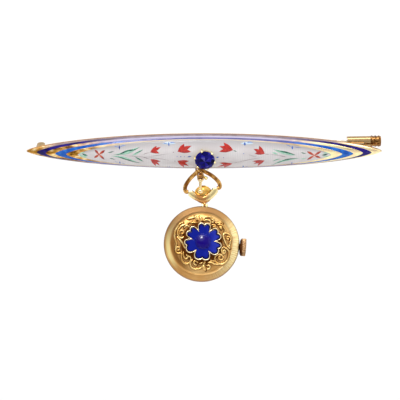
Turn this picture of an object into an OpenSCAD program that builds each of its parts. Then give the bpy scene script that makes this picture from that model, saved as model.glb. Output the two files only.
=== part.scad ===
// Enamelled bar brooch with a lady's watch hung from a snap hook at its middle.
// Drawn as it is seen from the front: x to the right, y up, z towards the viewer.
// Everything is turned at the end so that +Z is up and the front faces -Y.

/* [Bar] */
// Length of the bar from tip to tip
bar_l = 82; // [60:1:100]
// Height of the bar at its middle
bar_w = 8.9; // [7:0.1:11]
// Half angle of the domed section, so that 90 would be a half round
dome_angle = 65; // [60:1:78]
// How sharply the outline runs to its tips: 0.5 is an ellipse
tip_power = 0.7; // [0.55:0.01:0.8]
// Lean of the bar's top towards the viewer, in degrees
bar_lean = 30; // [0:1:35]
// Rise of the bar above the line that the hook and the watch are measured from
bar_rise = 0.15; // [0:0.05:0.4]
// Height of the dome's upright edge above the back sheet
edge_h = 0.35; // [0.3:0.01:0.6]
// Thickness of the domed sheet under the enamel
dome_wall = 0.7; // [0.5:0.05:0.9]
// Thickness of the flat back sheet
back_t = 0.5; // [0.4:0.05:0.8]
// Distance of the back sheet's edge inside the bar's edge
back_inset = 0.5; // [0.3:0.05:0.7]
// Clearance between fitted pieces
gap = 0.02; // [0.01:0.005:0.05]

/* [Enamel] */
// Depth of the enamel
enamel_t = 0.3; // [0.2:0.02:0.4]
// Distance from the bar's tip to the navy band, and the band's width there
navy_from = 2.5; // [1.8:0.1:3.5]
navy_tip_w = 2; // [1:0.1:2.4]
// Distance from the bar's tip to the blue band, and the band's width there
blue_from = 6.8; // [6:0.1:8]
blue_tip_w = 2.5; // [1:0.1:3]
// Distance from the bar's tip to the white field
white_from = 12; // [11:0.1:14]
// Distance in from the bar's edge, at its middle, to the navy band and its width
navy_side = 0.16; // [0.1:0.02:0.3]
navy_side_w = 0.22; // [0.16:0.02:0.3]
// Distance in from the bar's edge, at its middle, to the blue band and its width
blue_side = 0.88; // [0.7:0.02:0.92]
blue_side_w = 0.34; // [0.24:0.02:0.38]
// Distance in from the bar's edge, at its middle, to the white field
white_side = 1.42; // [1.34:0.02:1.6]

/* [Stone] */
// Radius of the stone at its girdle
stone_r = 2.2; // [1.8:0.05:2.6]
// Radius of the table
table_r = 1.25; // [0.9:0.05:1.5]
// Height of the girdle above the dome
girdle_rise = 0.85; // [0.5:0.05:1.1]
// Height of the crown above the girdle
crown_rise = 0.75; // [0.5:0.05:1]
// Depth of the stone below the girdle
pavilion_h = 1.5; // [1:0.05:1.8]
// Number of facets round the stone
facet_n = 12; // [8:1:16]
// Radius of a claw
claw_r = 0.26; // [0.2:0.02:0.32]
// Number of claws
claw_n = 6; // [4:1:8]
// Place of the first claw round the stone, in degrees
claw_turn = 107; // [90:1:120]

/* [Pin] */
// Distance from the bar's left tip to the pin's hinge
hinge_from = 3.2; // [3.2:0.1:5]
// Distance from the bar's right tip to the catch's mouth
catch_from = 7.8; // [7.6:0.1:10]
// Distance from the dome's rim back to the hinge
hinge_back = 2.15; // [2.05:0.05:3]
// Distance from the dome's rim back to the pin at the catch
catch_back = 3; // [2.8:0.05:3.6]
// Height of the catch above the bar's long axis
catch_up = 0.95; // [0.6:0.05:1.1]
// Radius of the pin's stem
stem_r = 0.4; // [0.3:0.02:0.45]
// Radius of the stem's knuckle
knuckle_r = 0.9; // [0.66:0.02:0.96]
// Width of the stem's knuckle
knuckle_w = 0.8; // [0.5:0.05:1]
// Radius of the hinge rivet
rivet_r = 0.28; // [0.2:0.02:0.34]
// Thickness of each hinge ear
ear_t = 0.36; // [0.3:0.02:0.5]
// Outer radius of the catch tube
tube_r = 1.22; // [1.18:0.01:1.4]
// Length of the catch tube
tube_l = 5.3; // [4:0.1:6]
// Wall of the catch tube and of the turning sleeve inside it
tube_wall = 0.31; // [0.25:0.01:0.34]
// Length of the sleeve's knob
knob_l = 2.4; // [1.2:0.1:2.4]

/* [Hook] */
// Place of the hook along the bar
hook_x = -0.85; // [-2:0.05:2]
// Radius of the hook's wire
hook_r = 0.4; // [0.3:0.02:0.45]
// Drop from the bar's lower edge to the middle of the hook's seat
seat_drop = 1.6; // [1.56:0.02:2]
// Distance from the bow back to the hook's shank
shank_back = 2.3; // [2.2:0.05:2.6]
// Distance of the bow behind the bar's rim plane
bow_z = -0.8; // [-1.2:0.05:-0.7]
// Radius of the hook's end eye
eye_r = 0.5; // [0.45:0.02:0.6]
// Radius of the lever's pin
lever_pin_r = 0.25; // [0.2:0.01:0.3]
// Reach of the lever's gate above its pin
gate_l = 1.88; // [1.6:0.02:1.9]
// Length of the lever's tail below its pin
tail_l = 3.5; // [3:0.05:3.8]
// Radius of the ball on the tail
ball_r = 0.6; // [0.4:0.02:0.66]

/* [Bow] */
// Radius of the bow's wire
bow_r = 0.43; // [0.3:0.01:0.45]
// Half width and drop of the bow at its shoulders
shoulder_x = 4.13; // [3.6:0.05:4.6]
shoulder_y = 3.56; // [3.2:0.05:3.8]
// Turn of the bow in the plane of the picture
bow_turn = 7; // [0:0.2:10]
// Drop from the top of the bow to the bottom of the cradle
cradle_drop = 7.07; // [6.8:0.02:7.6]
// Half width of the cradle's band
cradle_h = 0.42; // [0.3:0.02:0.45]
// Width of the cradle's band from front to back
cradle_w = 1.2; // [0.9:0.05:1.4]
// Radius of the button behind the cradle, and its height above the cradle's lowest point
button_r = 2.1; // [1.6:0.05:2.2]
button_rise = 1.65; // [1.5:0.05:1.9]

/* [Watch] */
// Radius of the case
case_r = 8.75; // [7.5:0.05:10]
// Thickness of the case without its ornament and glass
case_t = 4.2; // [3.6:0.05:5]
// Thickness of the case's wall
case_wall = 1; // [0.8:0.05:1.2]
// Turn of the watch in the plane of the picture
watch_turn = -4.5; // [-8:0.5:8]
// Lean of the watch's face upwards
watch_lean = 6; // [0:0.5:8]
// Space between the neck's hinge and the case
neck_rise = 0.24; // [0.22:0.01:0.4]
// Radius of the neck's ears
neck_r = 0.36; // [0.32:0.01:0.4]
// Thickness of each ear
neck_ear_t = 0.42; // [0.3:0.02:0.5]
// Width of the tongue between the ears
tongue_w = 0.44; // [0.36:0.02:0.6]
// Radius of the neck's pin
neck_pin_r = 0.14; // [0.12:0.01:0.16]
// Height of the filigree's scrolls
scroll_t = 0.55; // [0.3:0.05:0.8]
// Outer radius of the ring of scrolls
scroll_r = 6.5; // [6:0.05:6.8]
// Radius to the tips of the enamelled petals
petal_r = 4; // [3.4:0.05:4.2]
// Radius and rise of the flower's domed centre
centre_r = 1.75; // [1.4:0.05:1.9]
centre_rise = 0.75; // [0.4:0.05:0.9]
// Width of the gold rim round the petals
petal_rim = 0.3; // [0.2:0.02:0.4]
// Number of petals, each with two lobes
petal_n = 6; // [5:1:8]
// Radius of the crown
crown_r = 2.05; // [1.6:0.05:2.1]
// Length of the crown
crown_l = 1.45; // [1.2:0.05:2]
// Number of flutes on the crown
flute_n = 24; // [16:1:30]

/* [Hidden] */
$fn = 48;

gold = "#cf9b55";
pale_gold = "#e8c98a";
half_l = bar_l / 2;
half_w = bar_w / 2;
arc_share = dome_angle * PI / 180 / sin(dome_angle);
side_arc = half_w * arc_share;
dome_r = half_w / sin(dome_angle);
crest_z = dome_r * (1 - cos(dome_angle));
back_z = -edge_h - gap - back_t;
last_station = 0.998;

// Sections of the bar: half height and radius at a station x
function half_height(x) = half_w * pow(max(0, 1 - pow(x / half_l, 2)), tip_power);
function section_r(x) = half_height(x) / sin(dome_angle);

// A point of the dome at station x, arc distance s from the crest, d below the surface
function dome_point(x, s, d) =
  let (r = section_r(x), a = s / r * 180 / PI, lower = r - min(d, r / 2))
  [x, lower * sin(a), lower * cos(a) - r * cos(dome_angle)];

// Half width along the arc of a band's outline with reach l and half width s at the middle
function line_arc(x, l, s) = s * pow(max(0, 1 - pow(x / l, 2)), tip_power);

// Reach and half width of each outline, from the rim inwards
navy_out = [half_l - navy_from, side_arc - navy_side];
navy_in = [navy_out[0] - navy_tip_w, navy_out[1] - navy_side_w];
blue_out = [half_l - blue_from, side_arc - blue_side];
blue_in = [blue_out[0] - blue_tip_w, blue_out[1] - blue_side_w];
white_out = [half_l - white_from, side_arc - white_side];
rim_out = [half_l * last_station, side_arc];

// A point on an outline at angle q round it, inset by g and d below the surface
function outline_point(line, q, g, d) =
  let (
    x = (line[0] - g) * cos(q),
    s = (line[1] - g) * sign(sin(q)) * pow(abs(sin(q)), 2 * tip_power)
  )
  dome_point(x, s, d);

// Faces of a closed loop of m sections with four corners each
function loop_faces(m) = [
  for (i = [0 : m - 1]) for (j = [0 : 3])
    [4 * i + j, 4 * i + (j + 1) % 4, 4 * ((i + 1) % m) + (j + 1) % 4, 4 * ((i + 1) % m) + j]
];

// Faces of a sheet: a grid of m by n points above and the same grid below
function sheet_faces(m, n) = concat(
  [for (i = [0 : m - 2]) for (j = [0 : n - 2])
    [(i + 1) * n + j, (i + 1) * n + j + 1, i * n + j + 1, i * n + j]],
  [for (i = [0 : m - 2]) for (j = [0 : n - 2])
    [m * n + i * n + j + 1, m * n + (i + 1) * n + j + 1, m * n + (i + 1) * n + j, m * n + i * n + j]],
  [for (i = [0 : m - 2])
    [m * n + i * n, m * n + (i + 1) * n, (i + 1) * n, i * n]],
  [for (i = [0 : m - 2])
    [(i + 1) * n + n - 1, m * n + (i + 1) * n + n - 1, m * n + i * n + n - 1, i * n + n - 1]],
  [for (j = [0 : n - 2])
    [j + 1, m * n + j + 1, m * n + j, j]],
  [for (j = [0 : n - 2])
    [m * n + (m - 1) * n + j, m * n + (m - 1) * n + j + 1, (m - 1) * n + j + 1, (m - 1) * n + j]]
);

// Faces of a tube of m rings with n sides and closed ends
function tube_faces(m, n) = concat(
  [for (i = [0 : m - 2]) for (j = [0 : n - 1])
    [(i + 1) * n + j, (i + 1) * n + (j + 1) % n, i * n + (j + 1) % n, i * n + j]],
  [[for (j = [0 : n - 1]) j]],
  [[for (j = [n - 1 : -1 : 0]) (m - 1) * n + j]]
);

function unit(v) = v / norm(v);

// Direction of a path at point i
function heading(p, i) = unit(p[min(i + 1, len(p) - 1)] - p[max(i - 1, 0)]);

// A round wire along a path that never runs along the direction side
module wire(path, r, side = [0, 0, 1], sides = 10) {
  rings = [
    for (i = [0 : len(path) - 1])
      let (t = heading(path, i), u = unit(cross(side, t)), v = cross(t, u))
        for (j = [0 : sides - 1])
          path[i] + r * cos(360 * j / sides) * u + r * sin(360 * j / sides) * v
  ];
  polyhedron(points = rings, faces = tube_faces(len(path), sides));
}

// A smooth curve through a list of points, with n steps between each two
function curve_point(p0, p1, p2, p3, t) =
  0.5 * (2 * p1 + (p2 - p0) * t + (2 * p0 - 5 * p1 + 4 * p2 - p3) * t * t
    + (3 * p1 - p0 - 3 * p2 + p3) * t * t * t);
function smooth_path(p, n) = concat(
  [for (i = [0 : len(p) - 2]) for (k = [0 : n - 1])
    curve_point(p[max(i - 1, 0)], p[i], p[i + 1], p[min(i + 2, len(p) - 1)], k / n)],
  [p[len(p) - 1]]
);

// The band between two outlines, as deep as d
module dome_band(outer, inner, g, top, bottom, steps = 72) {
  corners = [
    for (k = [0 : steps - 1])
      let (q = 360 * k / steps)
        for (c = [
          outline_point(outer, q, g, top), outline_point(inner, q, -g, top),
          outline_point(inner, q, -g, bottom), outline_point(outer, q, g, bottom)
        ]) c
  ];
  polyhedron(points = corners, faces = loop_faces(steps));
}

// Places of the pin, hook and neck, worked out from the sizes above
hinge_at = [hinge_from - half_l, 0, -hinge_back];
catch_at = [half_l - catch_from, catch_up, -catch_back];
stem_run = catch_at - hinge_at;
stem_rise = atan2(stem_run[1], stem_run[0]);
stem_dip = atan2(-stem_run[2], norm([stem_run[0], stem_run[1]]));
tube_bore_r = tube_r - tube_wall;
turn_gap = 0.04;
sleeve_r = tube_bore_r - turn_gap;
sleeve_bore_r = sleeve_r - tube_wall;
slot_w = 2 * stem_r + 0.14;
cloth_share = -hinge_at[0] / stem_run[0];
cloth_in_bar = hinge_at + cloth_share * stem_run;
cloth_at = [
  cloth_in_bar[0],
  bar_rise + cloth_in_bar[1] * cos(bar_lean) - cloth_in_bar[2] * sin(bar_lean),
  cloth_in_bar[1] * sin(bar_lean) + cloth_in_bar[2] * cos(bar_lean)
];
bar_low_y = bar_rise - dome_r * (1 - cos(dome_angle) * sin(bar_lean));
seat_y = bar_low_y - seat_drop;
bow_slack = 0.06;
bow_top_y = seat_y + hook_r + bow_r + bow_slack;
lever_z = bow_z + 1.3;
lever_y = seat_y - 0.33;
neck_drop = cradle_drop + cradle_h + neck_r + 0.05;
neck_at = [
  hook_x + neck_drop * sin(bow_turn),
  bow_top_y - neck_drop * cos(bow_turn),
  bow_z
];
case_drop = case_r + neck_rise;
case_z = -case_drop * tan(watch_lean);

// Turns the drawing plane upright and brings the pin's middle to the origin
module placed() {
  rotate([90, 0, 0]) translate(-cloth_at) children();
}

module leaning() {
  translate([0, bar_rise, 0]) rotate([bar_lean, 0, 0]) children();
}

module along_pin(at) {
  translate(at) rotate([0, stem_dip, stem_rise]) children();
}

module in_bow() {
  translate([hook_x, bow_top_y, bow_z]) rotate([0, 0, bow_turn]) children();
}

module in_watch() {
  translate(neck_at) rotate([0, 0, watch_turn]) rotate([-watch_lean, 0, 0]) children();
}

module in_case() {
  in_watch() translate([0, -case_drop, case_z]) children();
}

// The domed gold sheet that carries the enamel, hollow behind
module bar_dome() {
  stations = 36;
  columns = 15;
  under = enamel_t + 2 * gap;
  lip_h = 0.16;
  sheet_x = [for (i = [0 : stations]) half_l * last_station * sin(90 * (2 * i / stations - 1))];
  outer = [
    for (x = sheet_x)
      let (
        w = half_height(x),
        arc = w * arc_share,
        lip = -min(0.45 * section_r(x), lip_h)
      )
        for (p = concat(
          [[x, -w, -edge_h], [x, -w, lip]],
          [for (j = [0 : columns]) dome_point(x, arc * (2 * j / columns - 1), under)],
          [[x, w, lip], [x, w, -edge_h]]
        )) p
  ];
  inner = [
    for (p = outer)
      let (w = half_height(p[0]), k = max(0.25, 1 - (dome_wall + under) / w))
        [p[0], p[1] * k, -edge_h + (p[2] + edge_h) * k]
  ];
  color(gold) placed() leaning() difference() {
    polyhedron(points = concat(outer, inner), faces = sheet_faces(stations + 1, columns + 5));
    stone_hole();
  }
}

collet_r = stone_r + 0.05;
collet_wall = 0.4;
girdle_z = crest_z + girdle_rise;

claw_at = collet_r + claw_r - 0.1;

// Height just clear of the dome under a claw that stands at angle turn
function claw_low(turn) =
  let (y = max(0, claw_at * abs(sin(turn)) - claw_r))
  sqrt(dome_r * dome_r - y * y) - dome_r * cos(dome_angle) + 2 * gap;

module stone_hole() {
  translate([0, 0, -edge_h - 1]) cylinder(r = collet_r + gap, h = crest_z + edge_h + 2);
}

// Gold border from the bar's edge to the navy band
module rim_border() {
  color(gold) placed() leaning() dome_band(rim_out, navy_out, 0, 0, enamel_t);
}

module navy_enamel() {
  color("#150d5f") placed() leaning() dome_band(navy_out, navy_in, gap, 0, enamel_t);
}

// Gold line between the navy and the blue band
module outer_wire() {
  color(gold) placed() leaning() dome_band(navy_in, blue_out, 0, 0, enamel_t);
}

module blue_enamel() {
  color("#2a6fc0") placed() leaning() dome_band(blue_out, blue_in, gap, 0, enamel_t);
}

// Gold line between the blue band and the white field
module inner_wire() {
  color(gold) placed() leaning() dome_band(blue_in, white_out, 0, 0, enamel_t);
}

module white_enamel() {
  stations = 32;
  columns = 12;
  reach = white_out[0] - gap;
  field_x = [for (i = [0 : stations]) reach * last_station * sin(90 * (2 * i / stations - 1))];
  function field(d) = [
    for (x = field_x) for (j = [0 : columns])
      dome_point(x, line_arc(x, reach, white_out[1] - gap) * (2 * j / columns - 1), d)
  ];
  color("#e4dfdb") placed() leaning() difference() {
    polyhedron(
      points = concat(field(0), field(enamel_t)),
      faces = sheet_faces(stations + 1, columns + 1)
    );
    stone_hole();
  }
}

// Two ears and the rivet that the pin turns on
module pin_hinge() {
  ear_y = knuckle_w / 2 + turn_gap;
  base_h = hinge_back + back_z - knuckle_r - turn_gap;
  translate(hinge_at) {
    for (k = [-1, 1])
      translate([0, k * (ear_y + ear_t / 2), 0]) {
        rotate([90, 0, 0]) cylinder(r = knuckle_r, h = ear_t, center = true);
        translate([-knuckle_r, -ear_t / 2, 0]) cube([2 * knuckle_r, ear_t, hinge_back + back_z + 0.1]);
      }
    rotate([90, 0, 0]) cylinder(r = rivet_r, h = 2 * (ear_y + ear_t), center = true);
    translate([-knuckle_r, -ear_y, knuckle_r + turn_gap])
      cube([2 * knuckle_r, 2 * ear_y, base_h + 0.1]);
  }
}

// The fixed half of the catch: a slotted tube on a foot
module pin_catch() {
  foot_w = 1;
  difference() {
    union() {
      along_pin(catch_at) rotate([0, 90, 0]) cylinder(r = tube_r, h = tube_l);
      translate(catch_at + [0.8, -foot_w / 2, 0])
        cube([tube_l - 2.4, foot_w, catch_back + back_z + 0.1]);
    }
    along_pin(catch_at) {
      translate([-1, 0, 0]) rotate([0, 90, 0]) cylinder(r = tube_bore_r, h = tube_l + 2);
      translate([-1, -slot_w / 2, -2 * tube_r]) cube([tube_l + 2, slot_w, 2 * tube_r]);
    }
  }
}

bend_r = 1.4;
shank_z = bow_z - shank_back;

// The hook: a pad behind the bar, a shank, one bend and an end eye for the lever
module hook() {
  pad = [1.2, 1.6, 0.9];
  pad_y = back_inset - half_w + pad[1] / 2 + 0.05;
  shank_top = bar_rise + pad_y * cos(bar_lean) - back_z * sin(bar_lean) - pad[1] / 3;
  leaning() translate([hook_x, pad_y, back_z - pad[2] / 2 + 0.1])
    cube(pad, center = true);
  translate([hook_x, shank_top, shank_z]) rotate([90, 0, 0])
    cylinder(r = hook_r, h = shank_top - seat_y - bend_r);
  translate([hook_x, seat_y + bend_r, shank_z + bend_r]) rotate([0, -90, 0]) rotate([0, 0, 180])
    rotate_extrude(angle = 90) translate([bend_r, 0]) circle(r = hook_r);
  translate([hook_x, seat_y, shank_z + bend_r]) cylinder(r = hook_r, h = lever_z - shank_z - bend_r - 0.35);
}

module hook_eye() {
  translate([hook_x, lever_y, lever_z]) rotate([0, 90, 0]) cylinder(r = eye_r, h = 0.8, center = true);
}

// Flat back sheet with the hinge, the catch and the hook soldered on
module bar_back() {
  points = 40;
  back_reach = 0.955;
  upper = [
    for (i = [0 : points])
      let (x = half_l * back_reach * sin(90 * (2 * i / points - 1)))
        [x, max(back_inset / 2, half_height(x) - back_inset)]
  ];
  lower = [for (i = [points : -1 : 0]) [upper[i][0], -upper[i][1]]];
  color(pale_gold) placed() {
    leaning() {
      translate([0, 0, back_z]) linear_extrude(height = back_t) polygon(concat(lower, upper));
      pin_hinge();
      pin_catch();
    }
    difference() {
      union() {
        hook();
        hook_eye();
      }
      translate([hook_x, lever_y, lever_z]) rotate([0, 90, 0])
        cylinder(r = lever_pin_r + turn_gap, h = 2, center = true);
    }
  }
}

// Collet with its claws, standing in the hole through the dome
module stone_setting() {
  base = -edge_h + gap;
  seat = girdle_z - 0.3;
  color(pale_gold) placed() leaning() {
    difference() {
      translate([0, 0, base]) cylinder(r = collet_r, h = seat - base);
      translate([0, 0, base - 1]) cylinder(r = collet_r - collet_wall, h = seat - base + 2);
      translate([0, 0, seat - 1.5])
        cylinder(r1 = 0.5, r2 = collet_r - 0.08, h = 1.51);
    }
    for (k = [0 : claw_n - 1])
      let (turn = claw_turn + 360 * k / claw_n, low = claw_low(turn), tip = girdle_z + 0.35)
        rotate([0, 0, turn]) translate([claw_at, 0, 0]) {
          translate([0, 0, low]) cylinder(r = claw_r, h = tip - low);
          translate([-0.06, 0, tip]) sphere(r = claw_r + 0.04);
        }
  }
}

// Faceted stone: table, crown, girdle and a pavilion that comes to a point
module sapphire() {
  r = stone_r - 0.08;
  girdle_t = 0.12;
  function ring(rr, z, turn) = [
    for (k = [0 : facet_n - 1])
      let (a = 360 * (k + turn) / facet_n) [rr * cos(a), rr * sin(a), z]
  ];
  color("#1a1a8c") placed() leaning() hull() polyhedron(
    points = concat(
      ring(table_r, girdle_z + crown_rise, 0),
      ring((r + table_r) / 2 + 0.08, girdle_z + crown_rise * 0.6, 0.5),
      ring(r, girdle_z + girdle_t, 0), ring(r, girdle_z, 0),
      ring(r * 0.55, girdle_z - pavilion_h * 0.55, 0.5),
      [[0, 0, girdle_z - pavilion_h]]
    ),
    faces = [for (k = [0 : 5 * facet_n - 1]) [k, (k + 1) % (5 * facet_n), 5 * facet_n]]
  );
}

// Knuckle, straight stem and point
module pin_stem() {
  point_l = 3;
  run = norm(stem_run) + tube_l - 0.9;
  color("#c9c2b2") placed() leaning() difference() {
    union() {
      translate(hinge_at) rotate([90, 0, 0]) cylinder(r = knuckle_r, h = knuckle_w, center = true);
      along_pin(hinge_at) rotate([0, 90, 0]) {
        cylinder(r = stem_r, h = run - point_l);
        translate([0, 0, run - point_l]) cylinder(r1 = stem_r, r2 = 0.08, h = point_l);
      }
    }
    translate(hinge_at) rotate([90, 0, 0])
      cylinder(r = rivet_r + turn_gap, h = 2 * knuckle_w, center = true);
  }
}

// Slotted sleeve that turns in the catch tube, with a ringed knob
module catch_sleeve() {
  ring_n = 3;
  ring_r = 0.14;
  color(gold) placed() leaning() along_pin(catch_at) rotate([0, 90, 0]) {
    difference() {
      translate([0, 0, 0.1]) cylinder(r = sleeve_r, h = tube_l);
      translate([0, 0, -1]) cylinder(r = sleeve_bore_r, h = tube_l + 0.6);
      translate([0, -slot_w / 2 + 0.02, -1]) cube([2 * tube_r, slot_w - 0.04, tube_l + 0.6]);
    }
    translate([0, 0, tube_l + 0.05]) cylinder(r = tube_r, h = knob_l);
    for (k = [0 : ring_n - 1])
      translate([0, 0, tube_l + 0.05 + knob_l * (k + 0.5) / ring_n])
        rotate_extrude() translate([tube_r, 0]) circle(r = ring_r, $fn = 24);
  }
}

// Gate, cheeks, pin with its ball, leaf and tail of the hook's lever
module hook_lever() {
  cheek_in = 0.44;
  cheek_t = 0.32;
  cheek_r = 0.64;
  pin_ball_r = 0.42;
  pin_ball_x = 1.26;
  rod_r = 0.27;
  rod_lean = 5;
  gate_r = 0.19;
  at = [hook_x, lever_y, lever_z];
  tail_top = -cheek_r - 0.25;
  gate = [
    for (p = smooth_path([
      [-0.6, 0, 0], [-0.95, gate_l * 0.55, 0.14], [-0.98, gate_l * 0.94, 0.28], [-0.75, gate_l, 0.3],
      [-0.48, gate_l * 0.92, 0.32], [-0.25, gate_l * 0.6, 0.42], [0.05, gate_l * 0.5, 0.62],
      [0.36, gate_l * 0.42, 0.7]
    ], 4)) p
  ];
  leaf = [
    [0.1, 1.55], [0.32, 1.2], [0.78, 0.1], [0.82, -0.35], [0.74, -0.95], [0.6, -0.6], [0.42, -0.2],
    [0.12, 0.9]
  ];
  color(gold) placed() translate(at) {
    for (k = [-1, 1]) translate([k * (cheek_in + cheek_t / 2), 0, 0]) {
      rotate([0, 90, 0]) cylinder(r = cheek_r, h = cheek_t, center = true);
      translate([-cheek_t / 2, tail_top, -0.3]) cube([cheek_t, -tail_top, 0.6]);
    }
    translate([-cheek_in - cheek_t, 0, 0]) rotate([0, 90, 0])
      cylinder(r = lever_pin_r, h = cheek_in + cheek_t + pin_ball_x);
    translate([pin_ball_x, 0, 0]) sphere(r = pin_ball_r);
    translate([-cheek_in - cheek_t, tail_top - 0.2, -0.3]) cube([2 * (cheek_in + cheek_t), 0.34, 0.6]);
    translate([0, tail_top - 0.1, 0]) rotate([90 - rod_lean, 0, 0])
      cylinder(r = rod_r, h = tail_l + tail_top + 0.1);
    translate([0, -tail_l, 0.3]) sphere(r = ball_r);
    translate([0, 0, cheek_r - 0.05]) linear_extrude(height = 0.24) polygon(leaf);
    wire(gate, gate_r);
  }
}

// Bosses on the cradle's ends, where the wire of the bow is fast
boss_r = 0.56;
boss_at = [shoulder_x - 1.23, -shoulder_y - 1.22, 0];
shoulder_at = [shoulder_x - 0.04, -shoulder_y - 0.3, 0];

// Round wire stirrup
module bow() {
  top_l = 0.7;
  side = [
    [0.8, -0.14, 0], [2.45, -shoulder_y * 0.44, 0], [shoulder_x - 0.45, -shoulder_y + 0.6, 0],
    shoulder_at, boss_at + (boss_r + gap) * unit(shoulder_at - boss_at)
  ];
  half = concat([for (k = [4 : -1 : 0]) [-side[k][0], side[k][1], 0]], [[0, 0, 0]], side);
  color(gold) placed() in_bow() {
    wire(smooth_path(half, 5), bow_r, sides = 12);
    rotate([0, 90, 0]) cylinder(r = bow_r + 0.01, h = top_l, center = true);
  }
}

// Polished V of strip that carries the watch, with the tongue of the neck
module cradle() {
  top_x = boss_at[0];
  top_y = boss_at[1];
  low_y = -cradle_drop;
  side = [
    [top_x, top_y], [top_x * 0.55, top_y + (low_y - top_y) * 0.62], [0, low_y]
  ];
  half = concat(side, [for (k = [1 : -1 : 0]) [-side[k][0], side[k][1]]]);
  line = smooth_path([for (p = half) [p[0], p[1], 0]], 6);
  function off(i, d) = let (t = heading(line, i)) [line[i][0] - d * t[1], line[i][1] + d * t[0]];
  n = len(line);
  color(pale_gold) placed() {
    in_bow() {
      for (k = [-1, 1]) translate([k * top_x, top_y, 0])
        cylinder(r = boss_r, h = cradle_w, center = true);
      translate([0, 0, -cradle_w / 2]) linear_extrude(height = cradle_w)
        polygon(concat(
          [for (i = [0 : n - 1]) off(i, cradle_h)],
          [for (i = [n - 1 : -1 : 0]) off(i, -cradle_h)]
        ));
    }
    in_watch() difference() {
      union() {
        rotate([0, 90, 0]) cylinder(r = neck_r, h = tongue_w, center = true);
        translate([-tongue_w / 2, 0, -neck_r]) cube([tongue_w, 0.75, 2 * neck_r]);
      }
      rotate([0, 90, 0]) cylinder(r = neck_pin_r + turn_gap, h = 2, center = true);
    }
  }
}

// Polished disc behind the cradle
module button() {
  button_t = 0.3;
  color(pale_gold) placed() in_bow()
    translate([0, button_rise - cradle_drop, -cradle_w / 2 - gap - button_t])
      cylinder(r = button_r, h = button_t);
}

body_t = case_t * 0.42;
half_t = case_t / 2;
stem_hole_r = 0.5;

// Turns z to the crown's axis, out of the case at the right
module crown_axis() {
  rotate([0, 90, 0]) children();
}

// Wall of the case, with the ears of the neck and the hole for the winding stem
module case_middle() {
  ear_x = tongue_w / 2 + turn_gap;
  color(gold) placed() {
    difference() {
      union() {
        in_case() difference() {
          rotate_extrude($fn = 96) polygon([
            [case_r - case_wall, -body_t / 2], [case_r - 0.12, -body_t / 2], [case_r, -body_t / 2 + 0.2],
            [case_r, body_t / 2 - 0.2], [case_r - 0.12, body_t / 2], [case_r - case_wall, body_t / 2]
          ]);
          crown_axis() cylinder(r = stem_hole_r + turn_gap, h = case_r + 1);
        }
        in_watch() for (k = [-1, 1]) translate([k * (ear_x + neck_ear_t / 2), 0, 0]) {
          rotate([0, 90, 0]) cylinder(r = neck_r, h = neck_ear_t, center = true);
          translate([-neck_ear_t / 2, -neck_rise - 0.3, -neck_r])
            cube([neck_ear_t, neck_rise + 0.3, 2 * neck_r]);
        }
      }
      in_watch() rotate([0, 90, 0]) cylinder(r = neck_r + 0.09, h = 2 * ear_x, center = true);
      in_case() translate([0, 0, body_t / 2]) cylinder(r = case_r, h = half_t, $fn = 96);
    }
    in_watch() rotate([0, 90, 0])
      cylinder(r = neck_pin_r, h = 2 * (ear_x + neck_ear_t), center = true);
  }
}

// Decorated cover: a bevelled rim, a shallow hollow and a low centre
module case_back() {
  z0 = body_t / 2 + gap;
  color(gold) placed() in_case() rotate_extrude($fn = 96) polygon([
    [0, z0], [case_r - 0.05, z0], [case_r - 0.05, z0 + 0.22], [case_r - 0.25, z0 + 0.4],
    [case_r * 0.84, half_t - 0.3], [case_r * 0.815, half_t - 0.34], [case_r * 0.78, half_t - 0.38],
    [case_r * 0.74, half_t - 0.3], [case_r * 0.66, half_t - 0.16], [case_r * 0.3, half_t], [0, half_t]
  ]);
}

flower_at = [0.28, 0.15, half_t + gap];

// One scroll: a strip that curls in on itself
module scroll(r0, r1, start, sweep) {
  steps = 20;
  half_strip = 0.17;
  function at(k, d) =
    let (a = start + sweep * k / steps, r = r0 + (r1 - r0) * k / steps + d) [r * cos(a), r * sin(a)];
  polygon(concat(
    [for (k = [0 : steps]) at(k, half_strip)],
    [for (k = [steps : -1 : 0]) at(k, -half_strip)]
  ));
}

// Openwork ring of scrolls round the flower
module filigree() {
  units = 10;
  curl_r = 1.15;
  mid_r = scroll_r - curl_r;
  color(gold) placed() in_case() translate(flower_at - [0, 0, gap / 2]) {
    linear_extrude(height = scroll_t * 0.8) difference() {
      circle(r = petal_r + 0.55, $fn = 72);
      circle(r = petal_r - 0.9, $fn = 72);
    }
    for (k = [0 : units - 1]) rotate([0, 0, 360 * (k + 0.5) / units]) {
      translate([mid_r, 0]) linear_extrude(height = scroll_t) scroll(curl_r, 0.35, -170, 440);
      rotate([0, 0, 180 / units]) translate([mid_r - 0.3, 0]) linear_extrude(height = scroll_t * 0.9)
        scroll(curl_r, 0.5, 150, -250);
    }
  }
}

// Outline of the flower at angle q, grown by g: two lobes a petal, a slit between petals
lobe_turn = 14.5;
lobe_share = 0.24;
function petal_edge(q, g) =
  let (
    unit_turn = 360 / petal_n,
    u = abs(((q - 90 + 720 + unit_turn / 2) % unit_turn) - unit_turn / 2) * 60 / unit_turn,
    off = u - lobe_turn,
    lobe = petal_r * lobe_share,
    mid = petal_r - lobe,
    side = max(0, lobe * lobe - pow(mid * sin(off), 2)),
    round_r = mid * cos(off) + sqrt(side),
    slit = min(1, sqrt(max(0, 30 - u) / 5)),
    floor_r = petal_r * 0.62
  )
  floor_r + (round_r - floor_r) * slit + g;

module flower_shape(g) {
  steps = 144;
  polygon([
    for (k = [0 : steps - 1])
      let (q = 360 * k / steps, r = petal_edge(q, g)) [r * cos(q), r * sin(q)]
  ]);
}

flower_z = flower_at[2] + scroll_t + gap;

tray_t = 0.2;
petal_t = 0.3;

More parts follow.
